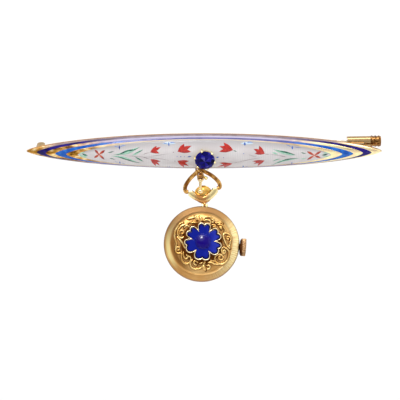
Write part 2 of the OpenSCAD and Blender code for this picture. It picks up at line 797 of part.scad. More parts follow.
// Gold tray of the flower
module flower_rim() {
  color(pale_gold) placed() in_case() translate([flower_at[0], flower_at[1], flower_z]) {
    linear_extrude(height = tray_t) flower_shape(petal_rim);
    translate([0, 0, tray_t]) linear_extrude(height = petal_t + 0.1) difference() {
      flower_shape(petal_rim);
      flower_shape(0);
    }
  }
}

// Blue enamel petals and the domed centre
module flower_enamel() {
  ball = (centre_r * centre_r + centre_rise * centre_rise) / (2 * centre_rise);
  color("#1414a0") placed() in_case()
    translate([flower_at[0], flower_at[1], flower_z + tray_t + gap]) {
      linear_extrude(height = petal_t) flower_shape(-gap);
      intersection() {
        translate([0, 0, petal_t + centre_rise - ball]) sphere(r = ball, $fn = 64);
        translate([0, 0, 0.1]) cylinder(r = centre_r + 0.4, h = 2);
      }
    }
}

glass_r = case_r - 1.5;

// Ring that holds the glass on the dial side
module bezel() {
  z0 = -body_t / 2 - gap;
  color(gold) placed() in_case() rotate_extrude($fn = 96) polygon([
    [glass_r + gap, z0], [case_r - 0.05, z0], [case_r - 0.05, z0 - 0.22], [case_r - 0.3, z0 - 0.45],
    [case_r - 1, -half_t], [glass_r + gap, -half_t], [glass_r + gap, z0 - 0.7], [glass_r + gap, z0 - 0.3]
  ]);
}

// Low domed glass
module crystal() {
  rise = 0.5;
  steps = 10;
  skirt_h = 0.5;
  ball = (glass_r * glass_r + rise * rise) / (2 * rise);
  dome = [
    for (k = [0 : steps])
      let (r = glass_r * k / steps) [r, ball - rise - sqrt(ball * ball - r * r)]
  ];
  color("#d8e4ea", 0.4) placed() in_case() translate([0, 0, -half_t])
    rotate_extrude($fn = 96) polygon(concat(
      dome, [[glass_r, skirt_h], [glass_r - 0.5, skirt_h], [glass_r - 0.5, 0.2], [0, 0]]
    ));
}

dial_t = 0.35;
dial_z = -body_t / 2 + dial_t;
post_r = 0.2;

// White dial with the post of the hands
module dial() {
  color("#f4f1ea") placed() in_case() {
    translate([0, 0, dial_z]) cylinder(r = case_r - case_wall - gap, h = dial_t, $fn = 96);
    translate([0, 0, dial_z - 0.95]) cylinder(r = post_r, h = 1);
  }
}

// Twelve plain batons, longer at the quarters
module dial_markers() {
  marker_t = 0.12;
  marker_w = 0.24;
  marker_end = glass_r - 0.35;
  color("#2c2a28") placed() in_case() for (k = [0 : 11])
    rotate([0, 0, 30 * k]) {
      l = k % 3 == 0 ? 1.3 : 0.9;
      translate([marker_end - l, -marker_w / 2, dial_z - gap - marker_t]) cube([l, marker_w, marker_t]);
    }
}

// A tapered hand with a round hub
module hand(l, w, z, turn) {
  hand_t = 0.14;
  hub_r = 0.48;
  tail = 1.1;
  tip_w = 0.12;
  translate([0, 0, z]) rotate([0, 0, turn]) linear_extrude(height = hand_t) difference() {
    union() {
      circle(r = hub_r);
      polygon([
        [-tail, -w / 3], [0, -w / 2], [l, -tip_w / 2], [l, tip_w / 2], [0, w / 2], [-tail, w / 3]
      ]);
    }
    circle(r = post_r + gap);
  }
}

module hour_hand() {
  color("#2b3563") placed() in_case() hand(glass_r / 2, 0.44, dial_z - 0.42, 120);
}

module minute_hand() {
  color("#2b3563") placed() in_case() hand(glass_r * 0.745, 0.36, dial_z - 0.62, 240);
}

// Fluted winding crown with its stem
module crown() {
  flute_r = 0.19;
  crown_gap = 0.08;
  color("#b9895a") placed() in_case() crown_axis() {
    translate([0, 0, case_r - case_wall + 2 * gap]) cylinder(r = stem_hole_r, h = case_wall + 0.2);
    translate([0, 0, case_r + crown_gap]) difference() {
      rotate_extrude($fn = 72) polygon([
        [0, 0], [crown_r - 0.55, 0], [crown_r, 0.3], [crown_r, crown_l - 0.15],
        [crown_r - 0.2, crown_l], [0, crown_l]
      ]);
      for (k = [0 : flute_n - 1]) rotate([0, 0, 360 * k / flute_n])
        translate([crown_r + 0.09, 0, -0.1]) cylinder(r = flute_r, h = crown_l + 0.2, $fn = 6);
    }
  }
}

bar_dome();
rim_border();
outer_wire();
inner_wire();
navy_enamel();
blue_enamel();
white_enamel();
bar_back();
stone_setting();
sapphire();
pin_stem();
catch_sleeve();
hook_lever();
bow();
cradle();
button();
case_middle();
case_back();
filigree();
flower_rim();
flower_enamel();
bezel();
crystal();
dial();
dial_markers();
hour_hand();
minute_hand();
crown();
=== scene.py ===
from math import cos, pi, radians, sin

import bmesh
import bpy
import numpy as np
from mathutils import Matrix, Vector


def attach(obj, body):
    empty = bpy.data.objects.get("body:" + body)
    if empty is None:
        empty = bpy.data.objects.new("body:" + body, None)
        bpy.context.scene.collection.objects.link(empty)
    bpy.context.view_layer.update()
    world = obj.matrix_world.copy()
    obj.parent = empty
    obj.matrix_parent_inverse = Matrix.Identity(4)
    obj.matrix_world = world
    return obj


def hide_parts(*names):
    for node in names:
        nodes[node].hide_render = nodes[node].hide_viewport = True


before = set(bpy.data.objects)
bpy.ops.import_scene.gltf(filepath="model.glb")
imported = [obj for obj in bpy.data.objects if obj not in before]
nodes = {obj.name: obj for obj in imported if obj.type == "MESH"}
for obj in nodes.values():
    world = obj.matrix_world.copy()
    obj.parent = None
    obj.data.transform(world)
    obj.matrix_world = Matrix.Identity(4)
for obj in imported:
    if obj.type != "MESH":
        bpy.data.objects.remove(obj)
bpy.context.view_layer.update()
print("frame loaded:", len(nodes), "nodes")

# Sizes are in millimetres and are drawn from the front: x right, y up, z towards the viewer.
millimetre = 0.001
drawing = {"rise": 0.15, "lean": 30, "originY": 1.889281, "originZ": -2.000974, "weld": 0.0001}


def toWorld(points):
    # drawing (x, y, z) to world (x, originZ - z, y - originY), in metres
    p = np.asarray(points, float)
    turned = np.stack([p[..., 0], drawing["originZ"] - p[..., 2], p[..., 1] - drawing["originY"]], -1)
    return turned * millimetre


def spin(points, axis, degrees):
    # turns points about x, y or z through the drawing's origin
    a = radians(degrees)
    i, j = {"x": (1, 2), "y": (2, 0), "z": (0, 1)}[axis]
    p = np.array(points, float)
    turned = p.copy()
    turned[..., i] = p[..., i] * cos(a) - p[..., j] * sin(a)
    turned[..., j] = p[..., i] * sin(a) + p[..., j] * cos(a)
    return turned


def barPlace(points):
    return toWorld(spin(points, "x", drawing["lean"]) + [0, drawing["rise"], 0])


def gridFaces(rows, columns, closeRows=False, closeColumns=False):
    # four corners (i, j), (i, j+1), (i+1, j+1), (i+1, j) of every cell, wrapped where closed
    i, j = np.meshgrid(
        np.arange(rows if closeRows else rows - 1),
        np.arange(columns if closeColumns else columns - 1), indexing="ij")
    i2, j2 = (i + 1) % rows, (j + 1) % columns
    cells = np.stack([i * columns + j, i * columns + j2, i2 * columns + j2, i2 * columns + j], -1)
    return cells.reshape(-1, 4)


def makePiece(name, parts, body, finish, flat=False, replaced=(), tones=None):
    # parts is a list of (points, faces); faces are rows of 3 or 4 corners
    points, loops, starts, count, total = [], [], [], 0, 0
    for partPoints, partFaces in parts:
        flatPoints = np.asarray(partPoints, float).reshape(-1, 3)
        points.append(flatPoints)
        loops.append((partFaces + count).ravel())
        starts.append(total + np.arange(len(partFaces)) * partFaces.shape[1])
        count += len(flatPoints)
        total += partFaces.size
    points, loops, starts = np.concatenate(points), np.concatenate(loops), np.concatenate(starts)
    mesh = bpy.data.meshes.new(name)
    mesh.vertices.add(len(points))
    mesh.vertices.foreach_set("co", points.ravel())
    mesh.loops.add(len(loops))
    mesh.loops.foreach_set("vertex_index", loops.astype(np.int32))
    mesh.polygons.add(len(starts))
    mesh.polygons.foreach_set("loop_start", starts.astype(np.int32))
    mesh.update(calc_edges=True)
    if tones is not None:
        tones = np.asarray(tones, np.float32).ravel()
        layer = mesh.attributes.new("tone", "FLOAT", "FACE" if len(tones) == len(mesh.polygons) else "POINT")
        layer.data.foreach_set("value", tones)
    weld = bmesh.new()
    weld.from_mesh(mesh)
    bmesh.ops.remove_doubles(weld, verts=weld.verts, dist=drawing["weld"] * millimetre)
    bmesh.ops.recalc_face_normals(weld, faces=weld.faces)
    weld.to_mesh(mesh)
    weld.free()
    mesh.polygons.foreach_set("use_smooth", np.full(len(mesh.polygons), not flat))
    mesh.update()
    piece = bpy.data.objects.new(name, mesh)
    bpy.context.scene.collection.objects.link(piece)
    mesh.materials.append(finish)
    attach(piece, body)
    if replaced:
        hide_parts(*replaced)


def smoothCurve(points, steps):
    # a curve through the points: on each span the cubic whose slopes are half the chord of the neighbours
    p = np.asarray(points, float)
    ends = np.concatenate([[2 * p[0] - p[1]], p, [2 * p[-1] - p[-2]]])
    t = np.linspace(0, 1, steps, endpoint=False)[None, :, None]
    a, b, c, d = (ends[k:len(p) - 1 + k, None, :] for k in range(4))
    span = 0.5 * (2 * b + (c - a) * t + (2 * a - 5 * b + 4 * c - d) * t**2 + (3 * b - a - 3 * c + d) * t**3)
    return np.concatenate([span.reshape(-1, p.shape[1]), p[-1:]])


def closedCurve(points, steps):
    # the same cubic, carried round a closed row of points
    p = np.asarray(points, float)
    wrapped = np.concatenate([p[-2:], p, p[:3]])
    return smoothCurve(wrapped, steps)[2 * steps:(2 + len(p)) * steps]


def sweepTube(path, radius, up=(0, 0, 1), sides=24, section=None):
    # rings of radius r(s) round a path: p(s) + r (cos a u + sin a v), u and v square to the path;
    # a section of (x, y) rows takes the place of (cos a, sin a)
    p = np.asarray(path, float)
    along = np.gradient(p, axis=0)
    along /= np.linalg.norm(along, axis=1, keepdims=True)
    u = np.cross(np.broadcast_to(np.asarray(up, float), p.shape), along)
    u /= np.linalg.norm(u, axis=1, keepdims=True)
    v = np.cross(along, u)
    r = np.broadcast_to(np.asarray(radius, float), (len(p),))[:, None, None]
    a = np.linspace(0, 2 * pi, sides, endpoint=False)
    s = np.stack([np.cos(a), np.sin(a)], -1) if section is None else section
    rings = p[:, None, :] + r * (s[None, :, :1] * u[:, None, :] + s[None, :, 1:] * v[:, None, :])
    first, last = (np.broadcast_to(end[:, None, :], (1, len(s), 3)) for end in (p[:1], p[-1:]))
    rings = np.concatenate([first, rings, last])
    return rings, gridFaces(len(rings), len(s), closeColumns=True)


def turnProfile(profile, sides, wave=None):
    # a profile of (radius, height) carried round z: (r cos a, r sin a, h); wave(a, r) may change r
    r, h = np.asarray(profile, float).T
    a = np.linspace(0, 2 * pi, sides, endpoint=False)[:, None]
    r, h = (np.broadcast_to(values, (sides, len(values))) for values in (r, h))
    if wave is not None:
        r = wave(a, r)
    return np.stack([r * np.cos(a), r * np.sin(a), h], -1), gridFaces(*r.shape, closeRows=True)


def plateParts(outline, levels):
    # for each level (share, height): centre + share (outline - centre), at that height
    middle = outline.mean(0)
    share, height = np.asarray(levels, float).T
    flat = middle + share[:, None, None] * (outline - middle)[None]
    heights = np.broadcast_to(height[:, None, None], (len(share), len(outline), 1))
    return np.concatenate([flat, heights], -1), gridFaces(len(share), len(outline), closeColumns=True)


def ballPart(radius, centre):
    a = np.linspace(-pi / 2, pi / 2, 21)
    points, faces = turnProfile(np.stack([radius * np.cos(a), radius * np.sin(a)], -1), 36)
    return points + np.asarray(centre, float), faces


def placedParts(parts, place):
    return [(place(points), faces) for points, faces in parts]


def alongX(part, shift=0.0):
    # z, x, y in place of x, y, z: a form drawn round z then lies round x, moved along it
    return part[0][..., [2, 0, 1]] + [shift, 0, 0], part[1]


def mirrored(profile):
    # the rows of (radius, height), then the same rows below
    return [*profile, *((r, -h) for r, h in profile[::-1])]


def bothSides(half, steps):
    # a curve through the points (x, y) of half at the left, the origin's side last, and back at the right
    left = [(-x, y, 0) for x, y in half]
    return smoothCurve(left + [(x, y, 0) for x, y in half[-2::-1]], steps)


class Value:
    # a socket of one finish; arithmetic on it adds Math nodes
    def __init__(self, finish, socket):
        self.finish, self.socket = finish, socket

    def calc(self, operation, *others):
        made = self.finish.node("ShaderNodeMath", {"operation": operation}, (self, *others))
        return Value(self.finish, made.outputs[0])

    def __add__(self, other):
        return self.calc("ADD", other)

    def __sub__(self, other):
        return self.calc("SUBTRACT", other)

    def __rsub__(self, other):
        return self.calc("MULTIPLY_ADD", -1.0, other)

    def __mul__(self, other):
        return self.calc("MULTIPLY", other)

    def __truediv__(self, other):
        return self.calc("DIVIDE", other)

    def __pow__(self, other):
        return self.calc("POWER", other)

    __radd__, __rmul__ = __add__, __mul__

    def wave(self, pitch):
        # 0.5 + 0.5 sin(2 pi x / pitch)
        return (self * (2 * pi / pitch)).calc("SINE") * 0.5 + 0.5

    def between(self, low, high):
        # from 0 at low to 1 at high, with soft ends
        made = self.finish.node(
            "ShaderNodeMapRange", {"interpolation_type": "SMOOTHSTEP"}, (self, low, high, 0.0, 1.0))
        return Value(self.finish, made.outputs[0])


class Finish:
    def __init__(self, name, **sockets):
        self.material = bpy.data.materials.new(name)
        self.material.use_nodes = True
        self.tree = self.material.node_tree
        shader = self.tree.nodes["Principled BSDF"]
        self.sockets = shader.inputs
        for label, value in sockets.items():
            self.set(label.replace("_", " "), value)
        # the piece's own coordinates in millimetres
        own = self.node("ShaderNodeTexCoord").outputs["Object"]
        inputs = {0: own, "Scale": 1 / millimetre}
        self.spot = self.node("ShaderNodeVectorMath", {"operation": "SCALE"}, inputs).outputs[0]

    def put(self, socket, value):
        if isinstance(value, Value):
            self.tree.links.new(value.socket, socket)
        elif isinstance(value, bpy.types.NodeSocket):
            self.tree.links.new(value, socket)
        else:
            socket.default_value = value

    def node(self, kind, settings=None, inputs=()):
        # inputs go by order or by name
        made = self.tree.nodes.new(kind)
        for label, value in (settings or {}).items():
            setattr(made, label, value)
        for label, value in inputs.items() if isinstance(inputs, dict) else enumerate(inputs):
            self.put(made.inputs[label], value)
        return made

    def ramp(self, amount, *stops):
        # stops are (place, colour) in rising order
        made = self.node("ShaderNodeValToRGB", None, (amount,))
        for place, colour in stops[1:-1]:
            made.color_ramp.elements.new(place)
        for element, (place, colour) in zip(made.color_ramp.elements, stops):
            element.position, element.color = place, colour
        return made.outputs[0]

    def set(self, label, value):
        self.put(self.sockets[label], value)

    def axes(self, spot=None):
        made = self.node("ShaderNodeSeparateXYZ", None, (spot or self.spot,))
        return [Value(self, out) for out in made.outputs]

    def stretched(self, *scale):
        return self.node("ShaderNodeMapping", None, {"Vector": self.spot, "Scale": scale}).outputs[0]

    def joined(self, *values):
        return self.node("ShaderNodeCombineXYZ", None, values).outputs[0]

    def noise(self, scale, detail=2.0, rough=0.5, spot=None):
        inputs = {"Vector": spot or self.spot, "Scale": scale, "Detail": detail, "Roughness": rough}
        return Value(self, self.node("ShaderNodeTexNoise", None, inputs).outputs[0])

    def tone(self):
        # the number that the piece keeps for each corner or face
        return Value(self, self.node("ShaderNodeAttribute", {"attribute_name": "tone"}).outputs["Fac"])

    def mix(self, amount, first, second):
        return self.node("ShaderNodeMix", {"data_type": "RGBA"}, {0: amount, 6: first, 7: second}).outputs[2]

    def bump(self, height, distance):
        inputs = {"Height": height, "Distance": distance * millimetre}
        self.set("Normal", self.node("ShaderNodeBump", None, inputs).outputs[0])

    def scratched(self, rough):
        # faint scratches in the roughness
        fine = self.noise(9.0, 3.0, 0.7)
        self.set("Roughness", fine * 0.08 + rough)
        return fine


def rgb(red, green, blue):
    # a colour as the eye reads it on a screen (0 to 255) to linear light
    seen = np.array([red, green, blue]) / 255
    linear = np.where(seen <= 0.04045, seen / 12.92, ((seen + 0.055) / 1.055) ** 2.4)
    return (*(float(value) for value in linear), 1.0)


# finishes
def metalFinish(name, light, dark, rough, clouds=0.6):
    # warm metal: two tones in slow clouds, faint scratches in roughness, a skin of tiny dents
    finish = Finish(name, Metallic=1.0)
    finish.set("Base Color", finish.mix(finish.noise(clouds, 3.0).between(0.3, 0.7), dark, light))
    finish.bump(finish.scratched(rough), 0.0015)
    return finish.material


def whiteEnamelFinish():
    # milky glass over upright engraved lines, greyer towards the top, where the tone is 1, as painted shade
    finish = Finish("whiteEnamel", Roughness=0.16, Coat_Weight=0.15, Coat_Roughness=0.06,
                    Specular_IOR_Level=0.4)
    lines = (finish.axes()[0] + finish.noise(0.22) * 0.25).wave(0.4)
    cloud = finish.noise(0.3, 3.0)
    base = finish.mix(cloud.between(0.35, 0.65), rgb(203, 197, 198), rgb(216, 212, 212))
    lined = finish.mix(lines * 0.5 * cloud.between(0.25, 0.75), base, rgb(186, 179, 184))
    # painted shade: the top of the field greyer
    finish.set("Base Color", finish.mix(finish.tone().between(0.68, 1.0) * 0.9, lined, rgb(160, 156, 158)))
    finish.bump(lines, 0.006)
    return finish.material


def paintFinish(name, light, dark, scale=1.6):
    # thin fired paint: strokes of uneven depth
    finish = Finish(name, Roughness=0.22, Coat_Weight=0.3, Coat_Roughness=0.08)
    streak = finish.noise(scale, 3.0, 0.65)
    finish.set("Base Color", finish.mix(streak.between(0.35, 0.65), dark, light))
    return finish.material


def barGoldFinish(name, sideReflectionDark, sideReflectionLight, first, last):
    # dull along the sides of the bar in pale tones of painted reflection, turning from first to last to
    # bright gold with brown clouds of painted reflection, paler and yellower at the right end as painted
    # light; reach is |x + 2|, so the left end turns later
    finish = Finish(name, Specular_IOR_Level=0.0)
    x = finish.axes()[0]
    reach = (x + 2.0).calc("ABSOLUTE")
    cloud = finish.noise(1.0, 3.0, spot=finish.stretched(0.5, 1.2, 1.4))
    # painted reflection: dark brown to pale clouds on the bright gold
    deep = finish.ramp(cloud, (0.34, rgb(92, 50, 14)), (0.43, rgb(160, 116, 40)), (0.52, rgb(208, 150, 74)),
                       (0.64, rgb(246, 224, 168)))
    # painted light: pale yellow gold, laid on at the right end
    pale = finish.mix(cloud.between(0.35, 0.65), rgb(253, 226, 180), rgb(255, 246, 190))
    ends = finish.mix(x.between(18.0, 26.0) * 0.92, deep, pale)
    finish.set("Metallic", reach.between(last - 6.0, last + 3.0))
    # painted reflection: the pale tones along the sides
    sides = finish.mix(cloud, sideReflectionDark, sideReflectionLight)
    finish.set("Base Color", finish.mix(reach.between(first, last), sides, ends))
    finish.scratched(0.13)
    finish.bump(cloud, 0.02)
    return finish.material


def caseFinish(name, light, dark, rough):
    # brushed metal: fine marks along x that cross slow clouds
    finish = Finish(name, Metallic=1.0)
    marks = finish.noise(1.0, 3.0, 0.6, finish.stretched(3.0, 6.0, 24.0))
    finish.set("Base Color", finish.mix(finish.noise(0.35, 3.0) * 0.6 + marks * 0.4, dark, light))
    finish.set("Roughness", marks * 0.14 + rough)
    finish.bump(marks, 0.004)
    return finish.material


def aroundCase(finish, centre):
    # to the right of the middle, above it, and the distance from it
    x, _, z = finish.axes()
    right, above = x - float(centre[0]), z - float(centre[2])
    return right, above, (right * right + above * above).calc("SQRT")


def coverFinish(centre):
    # circles of brushing on the concave ring and the bevel, ray cuts on the bevel at the right and below;
    # painted light and shade on the bevels and the ring, and brown painted shade in the recess where the
    # tone is 1
    finish = Finish("coverGold", Metallic=1.0)
    right, above, radius = aroundCase(finish, centre)
    angle, left, low = above.calc("ARCTAN2", right), right * -1.0 / radius, above * -1.0 / radius
    marks = finish.noise(1.0, 4.0, 0.65, finish.joined(radius * 9.0, right * 0.35, above * 0.35))
    rays = finish.noise(1.0, 2.0, 0.5, finish.joined(angle * 34.0, radius * 0.5, 0.0))
    bevel = radius.between(6.9, 7.3)
    # masks for painted light and shade: light on the right bevel, the concave ring dark at the left, a
    # bright streak on the left bevel, shade on the top bevel
    lit = ((right * 0.95 - above * 0.3) / radius).between(0.25, 0.85) * bevel
    hollowShade = left.between(0.1, 0.9) * radius.between(5.9, 6.4) * (1.0 - radius.between(6.9, 7.4))
    streak = left.between(0.6, 0.95) * radius.between(7.1, 7.6) * (1.0 - radius.between(8.0, 8.4))
    shade = (above / radius - right / radius * 0.3).between(0.0, 0.9) * bevel
    base = (finish.noise(0.25) * 0.5 + marks * 0.5).between(0.35, 0.65)
    base = finish.mix(base, rgb(206, 152, 84), rgb(240, 196, 128))
    # painted light and shade, in turn: the dark ring, the streak, light with the ray cuts, shade on the top
    # bevel and the lower bevel, browner over the middle; then a greyer brown at the very edge and the
    # recess's painted shade
    for amount, colour in (
        (hollowShade * 0.75, rgb(128, 76, 28)), (streak, rgb(255, 234, 164)),
        (lit * (rays.between(0.36, 0.6) * 0.6 + 0.3), rgb(255, 242, 184)), (shade * 0.88, rgb(122, 90, 58)),
        (low.between(0.35, 0.9) * bevel * 0.5, rgb(164, 112, 56)),
        (0.5 - radius.between(5.4, 6.2) * 0.5, rgb(164, 106, 44)),
        (radius.between(8.4, 8.66) * 0.8, rgb(150, 116, 92)),
        (finish.tone().between(0.2, 0.8), rgb(98, 50, 12)),
    ):
        base = finish.mix(amount, base, colour)
    finish.set("Base Color", base)
    finish.set("Roughness", marks * 0.12 + radius.between(7.0, 7.6) * 0.1 + 0.3)
    finish.bump(marks * 0.4 + rays * lit * 0.5, 0.02)
    return finish.material


def flowerFinish(centre):
    # fired glass: violet in the middle, royal blue petals lighter at the right as painted light, near black
    # by the rim, where the tone is 0; a coat only round one bright spark
    finish = Finish("flowerGlass", Roughness=0.06, Coat_Roughness=0.02, Specular_IOR_Level=0.15)
    right, above, radius = aroundCase(finish, centre)
    cloud = finish.noise(0.8, 3.0)
    # painted light: the petals lighter towards the right
    petal = finish.mix((right * 0.9 + cloud * 3.0).between(1.6, 4.6), rgb(2, 20, 128), rgb(34, 46, 156))
    full = finish.mix((radius + cloud).between(1.7, 2.6), rgb(20, 2, 108), petal)
    spark = ((right + 0.39) ** 2.0 + (above - 0.89) ** 2.0).calc("SQRT")
    finish.set("Coat Weight", 1.0 - spark.between(0.5, 0.9))
    finish.set("Base Color", finish.mix(finish.tone().between(0.0, 0.7), rgb(6, 4, 52), full))
    finish.bump(finish.noise(2.2, 3.0), 0.008)
    return finish.material


def crownFinish(centre):
    # brownish gold in pale and dark clouds, with painted shadow dark beside the case
    finish = Finish("crownGold", Metallic=1.0)
    cloud = finish.noise(3.0, 3.0)
    right = finish.axes()[0] - float(centre[0])
    base = finish.mix(cloud.between(0.35, 0.65), rgb(142, 106, 72), rgb(198, 160, 116))
    # painted shadow: dark beside the case
    finish.set("Base Color", finish.mix(right.between(9.1, 9.6), rgb(84, 46, 14), base))
    finish.set("Roughness", cloud * 0.15 + 0.28)
    finish.bump(finish.noise(12.0), 0.004)
    return finish.material


def glassFinish():
    finish = Finish("watchGlass", Transmission_Weight=1.0, IOR=1.5)
    finish.set("Roughness", finish.noise(0.6, 3.0) * 0.03 + 0.01)
    return finish.material


def cradleFinish():
    # painted reflection: orange brown left of the middle, pale yellow at the right and the left end; painted
    # shadow dark where the tone is 1
    finish = Finish("cradleGold", Metallic=0.9)
    cloud = (finish.noise(1.2, 3.0) - 0.5) * 1.2 + finish.axes()[0]
    pale = (1.0 - cloud.between(-2.9, -1.3)) + cloud.between(0.2, 1.5)
    base = finish.mix(pale, rgb(216, 154, 90), rgb(255, 234, 172))
    finish.set("Base Color", finish.mix(finish.tone(), base, rgb(84, 44, 10)))
    finish.scratched(0.16)
    return finish.material


def tallFinish(name, rough, edge, low, high):
    # two copies of one metal, below and above the heights of edge, for painted shade and light; each is a
    # dark tone, a light tone and the clouds' span, empty for the clouds as they are
    finish = Finish(name, Metallic=1.0)
    cloud = finish.noise(1.3, 3.0)
    tones = [finish.mix(cloud.between(*span) if span else cloud, *pair) for *pair, span in (low, high)]
    finish.set("Base Color", finish.mix(finish.axes()[2].between(*edge), *tones))
    finish.scratched(rough)
    return finish.material


def plainFinish(name, light, dark, rough, metallic=0.0):
    finish = Finish(name, Metallic=metallic)
    cloud = finish.noise(2.5, 3.0)
    finish.set("Base Color", finish.mix(cloud, dark, light))
    finish.set("Roughness", cloud * 0.1 + rough)
    finish.bump(cloud, 0.003)
    return finish.material


def bandFinish(name, side, tip, first, last):
    # each of side and tip is a dark and a light tone; the side's grey haze, painted reflection, gives way
    # from |x| = first to last
    finish = Finish(name, Roughness=0.12, Coat_Weight=0.08, Coat_Roughness=0.05, Specular_IOR_Level=0.2)
    cloud = finish.noise(0.5, 3.0)
    reach = finish.axes()[0].calc("ABSOLUTE") + (cloud - 0.5) * 6.0
    tones = [finish.mix(cloud.between(0.38, 0.62), *pair) for pair in (side, tip)]
    speck = finish.noise(14.0, 2.0, 0.8).between(0.66, 0.8) * 0.2
    finish.set("Base Color", finish.mix(speck, finish.mix(reach.between(first, last), *tones), tip[1]))
    finish.bump(finish.noise(1.1), 0.004)
    return finish.material


def sapphireFinish():
    # deep blue glass; each facet keeps its own tone, from near black to violet, as painted reflections
    # inside the stone
    finish = Finish("sapphireBlue", Roughness=0.05, Specular_IOR_Level=0.08)
    depth = finish.tone() + (finish.noise(1.5) - 0.5) * 0.5
    finish.set("Base Color", finish.ramp(depth, (0.0, rgb(2, 2, 24)), (0.4, rgb(10, 8, 92)),
                                         (0.75, rgb(30, 24, 140)), (1.0, rgb(120, 120, 176))))
    return finish.material


gold = metalFinish("gold", rgb(232, 184, 120), rgb(214, 158, 92), 0.12)
# the first two tones of each, for the sides of the bar, are painted reflection
outerGold = barGoldFinish("outerGold", rgb(166, 160, 186), rgb(188, 182, 206), 16.0, 31.0)
innerGold = barGoldFinish("innerGold", rgb(206, 188, 160), rgb(222, 206, 178), 14.0, 28.0)
rimMetal = barGoldFinish("rimMetal", rgb(124, 106, 104), rgb(176, 152, 148), 31.0, 37.0)
# the bow's brown and gold clouds are painted reflection
bowGold = metalFinish("bowGold", rgb(240, 188, 106), rgb(136, 80, 26), 0.12, 0.8)
cradleGold = cradleFinish()
buttonGold = metalFinish("buttonGold", rgb(252, 208, 116), rgb(206, 146, 56), 0.14, 0.7)
clawGold = metalFinish("clawGold", rgb(255, 246, 196), rgb(244, 222, 150), 0.16)
caseGold = caseFinish("caseGold", rgb(180, 148, 118), rgb(132, 102, 80), 0.24)
scrollGold = metalFinish("scrollGold", rgb(244, 214, 146), rgb(214, 164, 88), 0.22)
rimGold = metalFinish("rimGold", rgb(255, 240, 202), rgb(250, 224, 170), 0.22)
# painted shade and highlight: the sleeve's dark brown and pale clouds
catchGold = metalFinish("catchGold", rgb(190, 140, 82), rgb(78, 42, 12), 0.16, 2.2)
# painted shade: the hook below the bar is dark with pale clouds, the tube above it even and lighter, one
# gold in both
backGold = tallFinish("backGold", 0.13, (-5.9, -5.4), (rgb(72, 32, 8), rgb(196, 138, 74), (0.3, 0.7)),
                      (rgb(158, 124, 78), rgb(204, 174, 128), ()))
# brown at the top of the lever as painted shade, pale gold on its rod and ball as painted light
leverGold = tallFinish("leverGold", 0.14, (-9.0, -7.6), (rgb(252, 226, 170), rgb(252, 226, 170), ()),
                       (rgb(104, 54, 16), rgb(232, 184, 112), (0.3, 0.7)))
earGold = metalFinish("earGold", rgb(255, 246, 186), rgb(246, 226, 140), 0.14)
pinMetal = metalFinish("pinMetal", rgb(206, 200, 190), rgb(176, 168, 156), 0.2)
# the grey and lilac side tones of both bands are painted reflection
navyEnamel = bandFinish("navyEnamel", (rgb(120, 106, 110), rgb(140, 126, 130)),
                        (rgb(16, 4, 70), rgb(30, 16, 112)), 12.0, 30.0)
blueEnamel = bandFinish("blueEnamel", (rgb(90, 88, 140), rgb(108, 104, 156)),
                        (rgb(16, 78, 170), rgb(44, 112, 198)), 12.0, 28.0)
whiteEnamel = whiteEnamelFinish()
paints = {
    "mist": paintFinish("paintMist", rgb(190, 206, 220), rgb(176, 198, 216)),
    "blush": paintFinish("paintBlush", rgb(226, 196, 188), rgb(218, 182, 172)),
    "pale": paintFinish("paintPale", rgb(172, 208, 188), rgb(140, 190, 168)),
    "green": paintFinish("paintGreen", rgb(44, 122, 92), rgb(14, 64, 56)),
    "stem": paintFinish("paintStem", rgb(146, 124, 126), rgb(112, 100, 106)),
    "red": paintFinish("paintRed", rgb(190, 42, 28), rgb(156, 24, 22)),
    "redDark": paintFinish("paintDarkRed", rgb(196, 82, 48), rgb(132, 30, 38), 1.1),
    "blue": paintFinish("paintBlue", rgb(104, 142, 204), rgb(58, 92, 170)),
    "blueDark": paintFinish("paintDeepBlue", rgb(64, 104, 190), rgb(30, 52, 120)),
}
print("finishes made")

# bar
bar = {
    "halfLength": 41.0, "halfWidth": 4.45, "angle": 65, "tipPower": 0.7, "lastStation": 0.9979,
    "steps": 360, "acrossSteps": 13, "depth": 0.26, "wireRise": 0.05, "enamelSag": 0.02,
    "fieldAlong": 241, "fieldAcross": 49,
}
barAngle = radians(bar["angle"])
barLean = radians(drawing["lean"])
sideArc = bar["halfWidth"] * barAngle / sin(barAngle)
# reach along the bar and half arc at its middle of every line, from the rim inwards
outlines = {
    "rim": (bar["halfLength"] * bar["lastStation"], sideArc), "navyOut": (38.5, sideArc - 0.14),
    "navyIn": (36.5, sideArc - 0.56), "blueOut": (34.2, sideArc - 0.98),
    "blueIn": (31.7, sideArc - 1.36), "white": (29.0, sideArc - 1.52),
}


def sectionRadius(x):
    # half width w (1 - (x / l)^2)^p over sin(angle)
    share = np.clip(1 - (x / bar["halfLength"]) ** 2, 0, 1)
    return bar["halfWidth"] * share ** bar["tipPower"] / sin(barAngle)


def domePoints(x, arc, lift):
    # a = arc / r: (x, (r + lift) sin a, (r + lift) cos a - r cos angle), lift never under -r / 2
    r = np.maximum(sectionRadius(x), 1e-3)
    a = arc / r
    high = r + np.maximum(lift, -r / 2)
    return np.stack([x + 0 * a, high * np.sin(a), high * np.cos(a) - r * cos(barAngle)], -1)


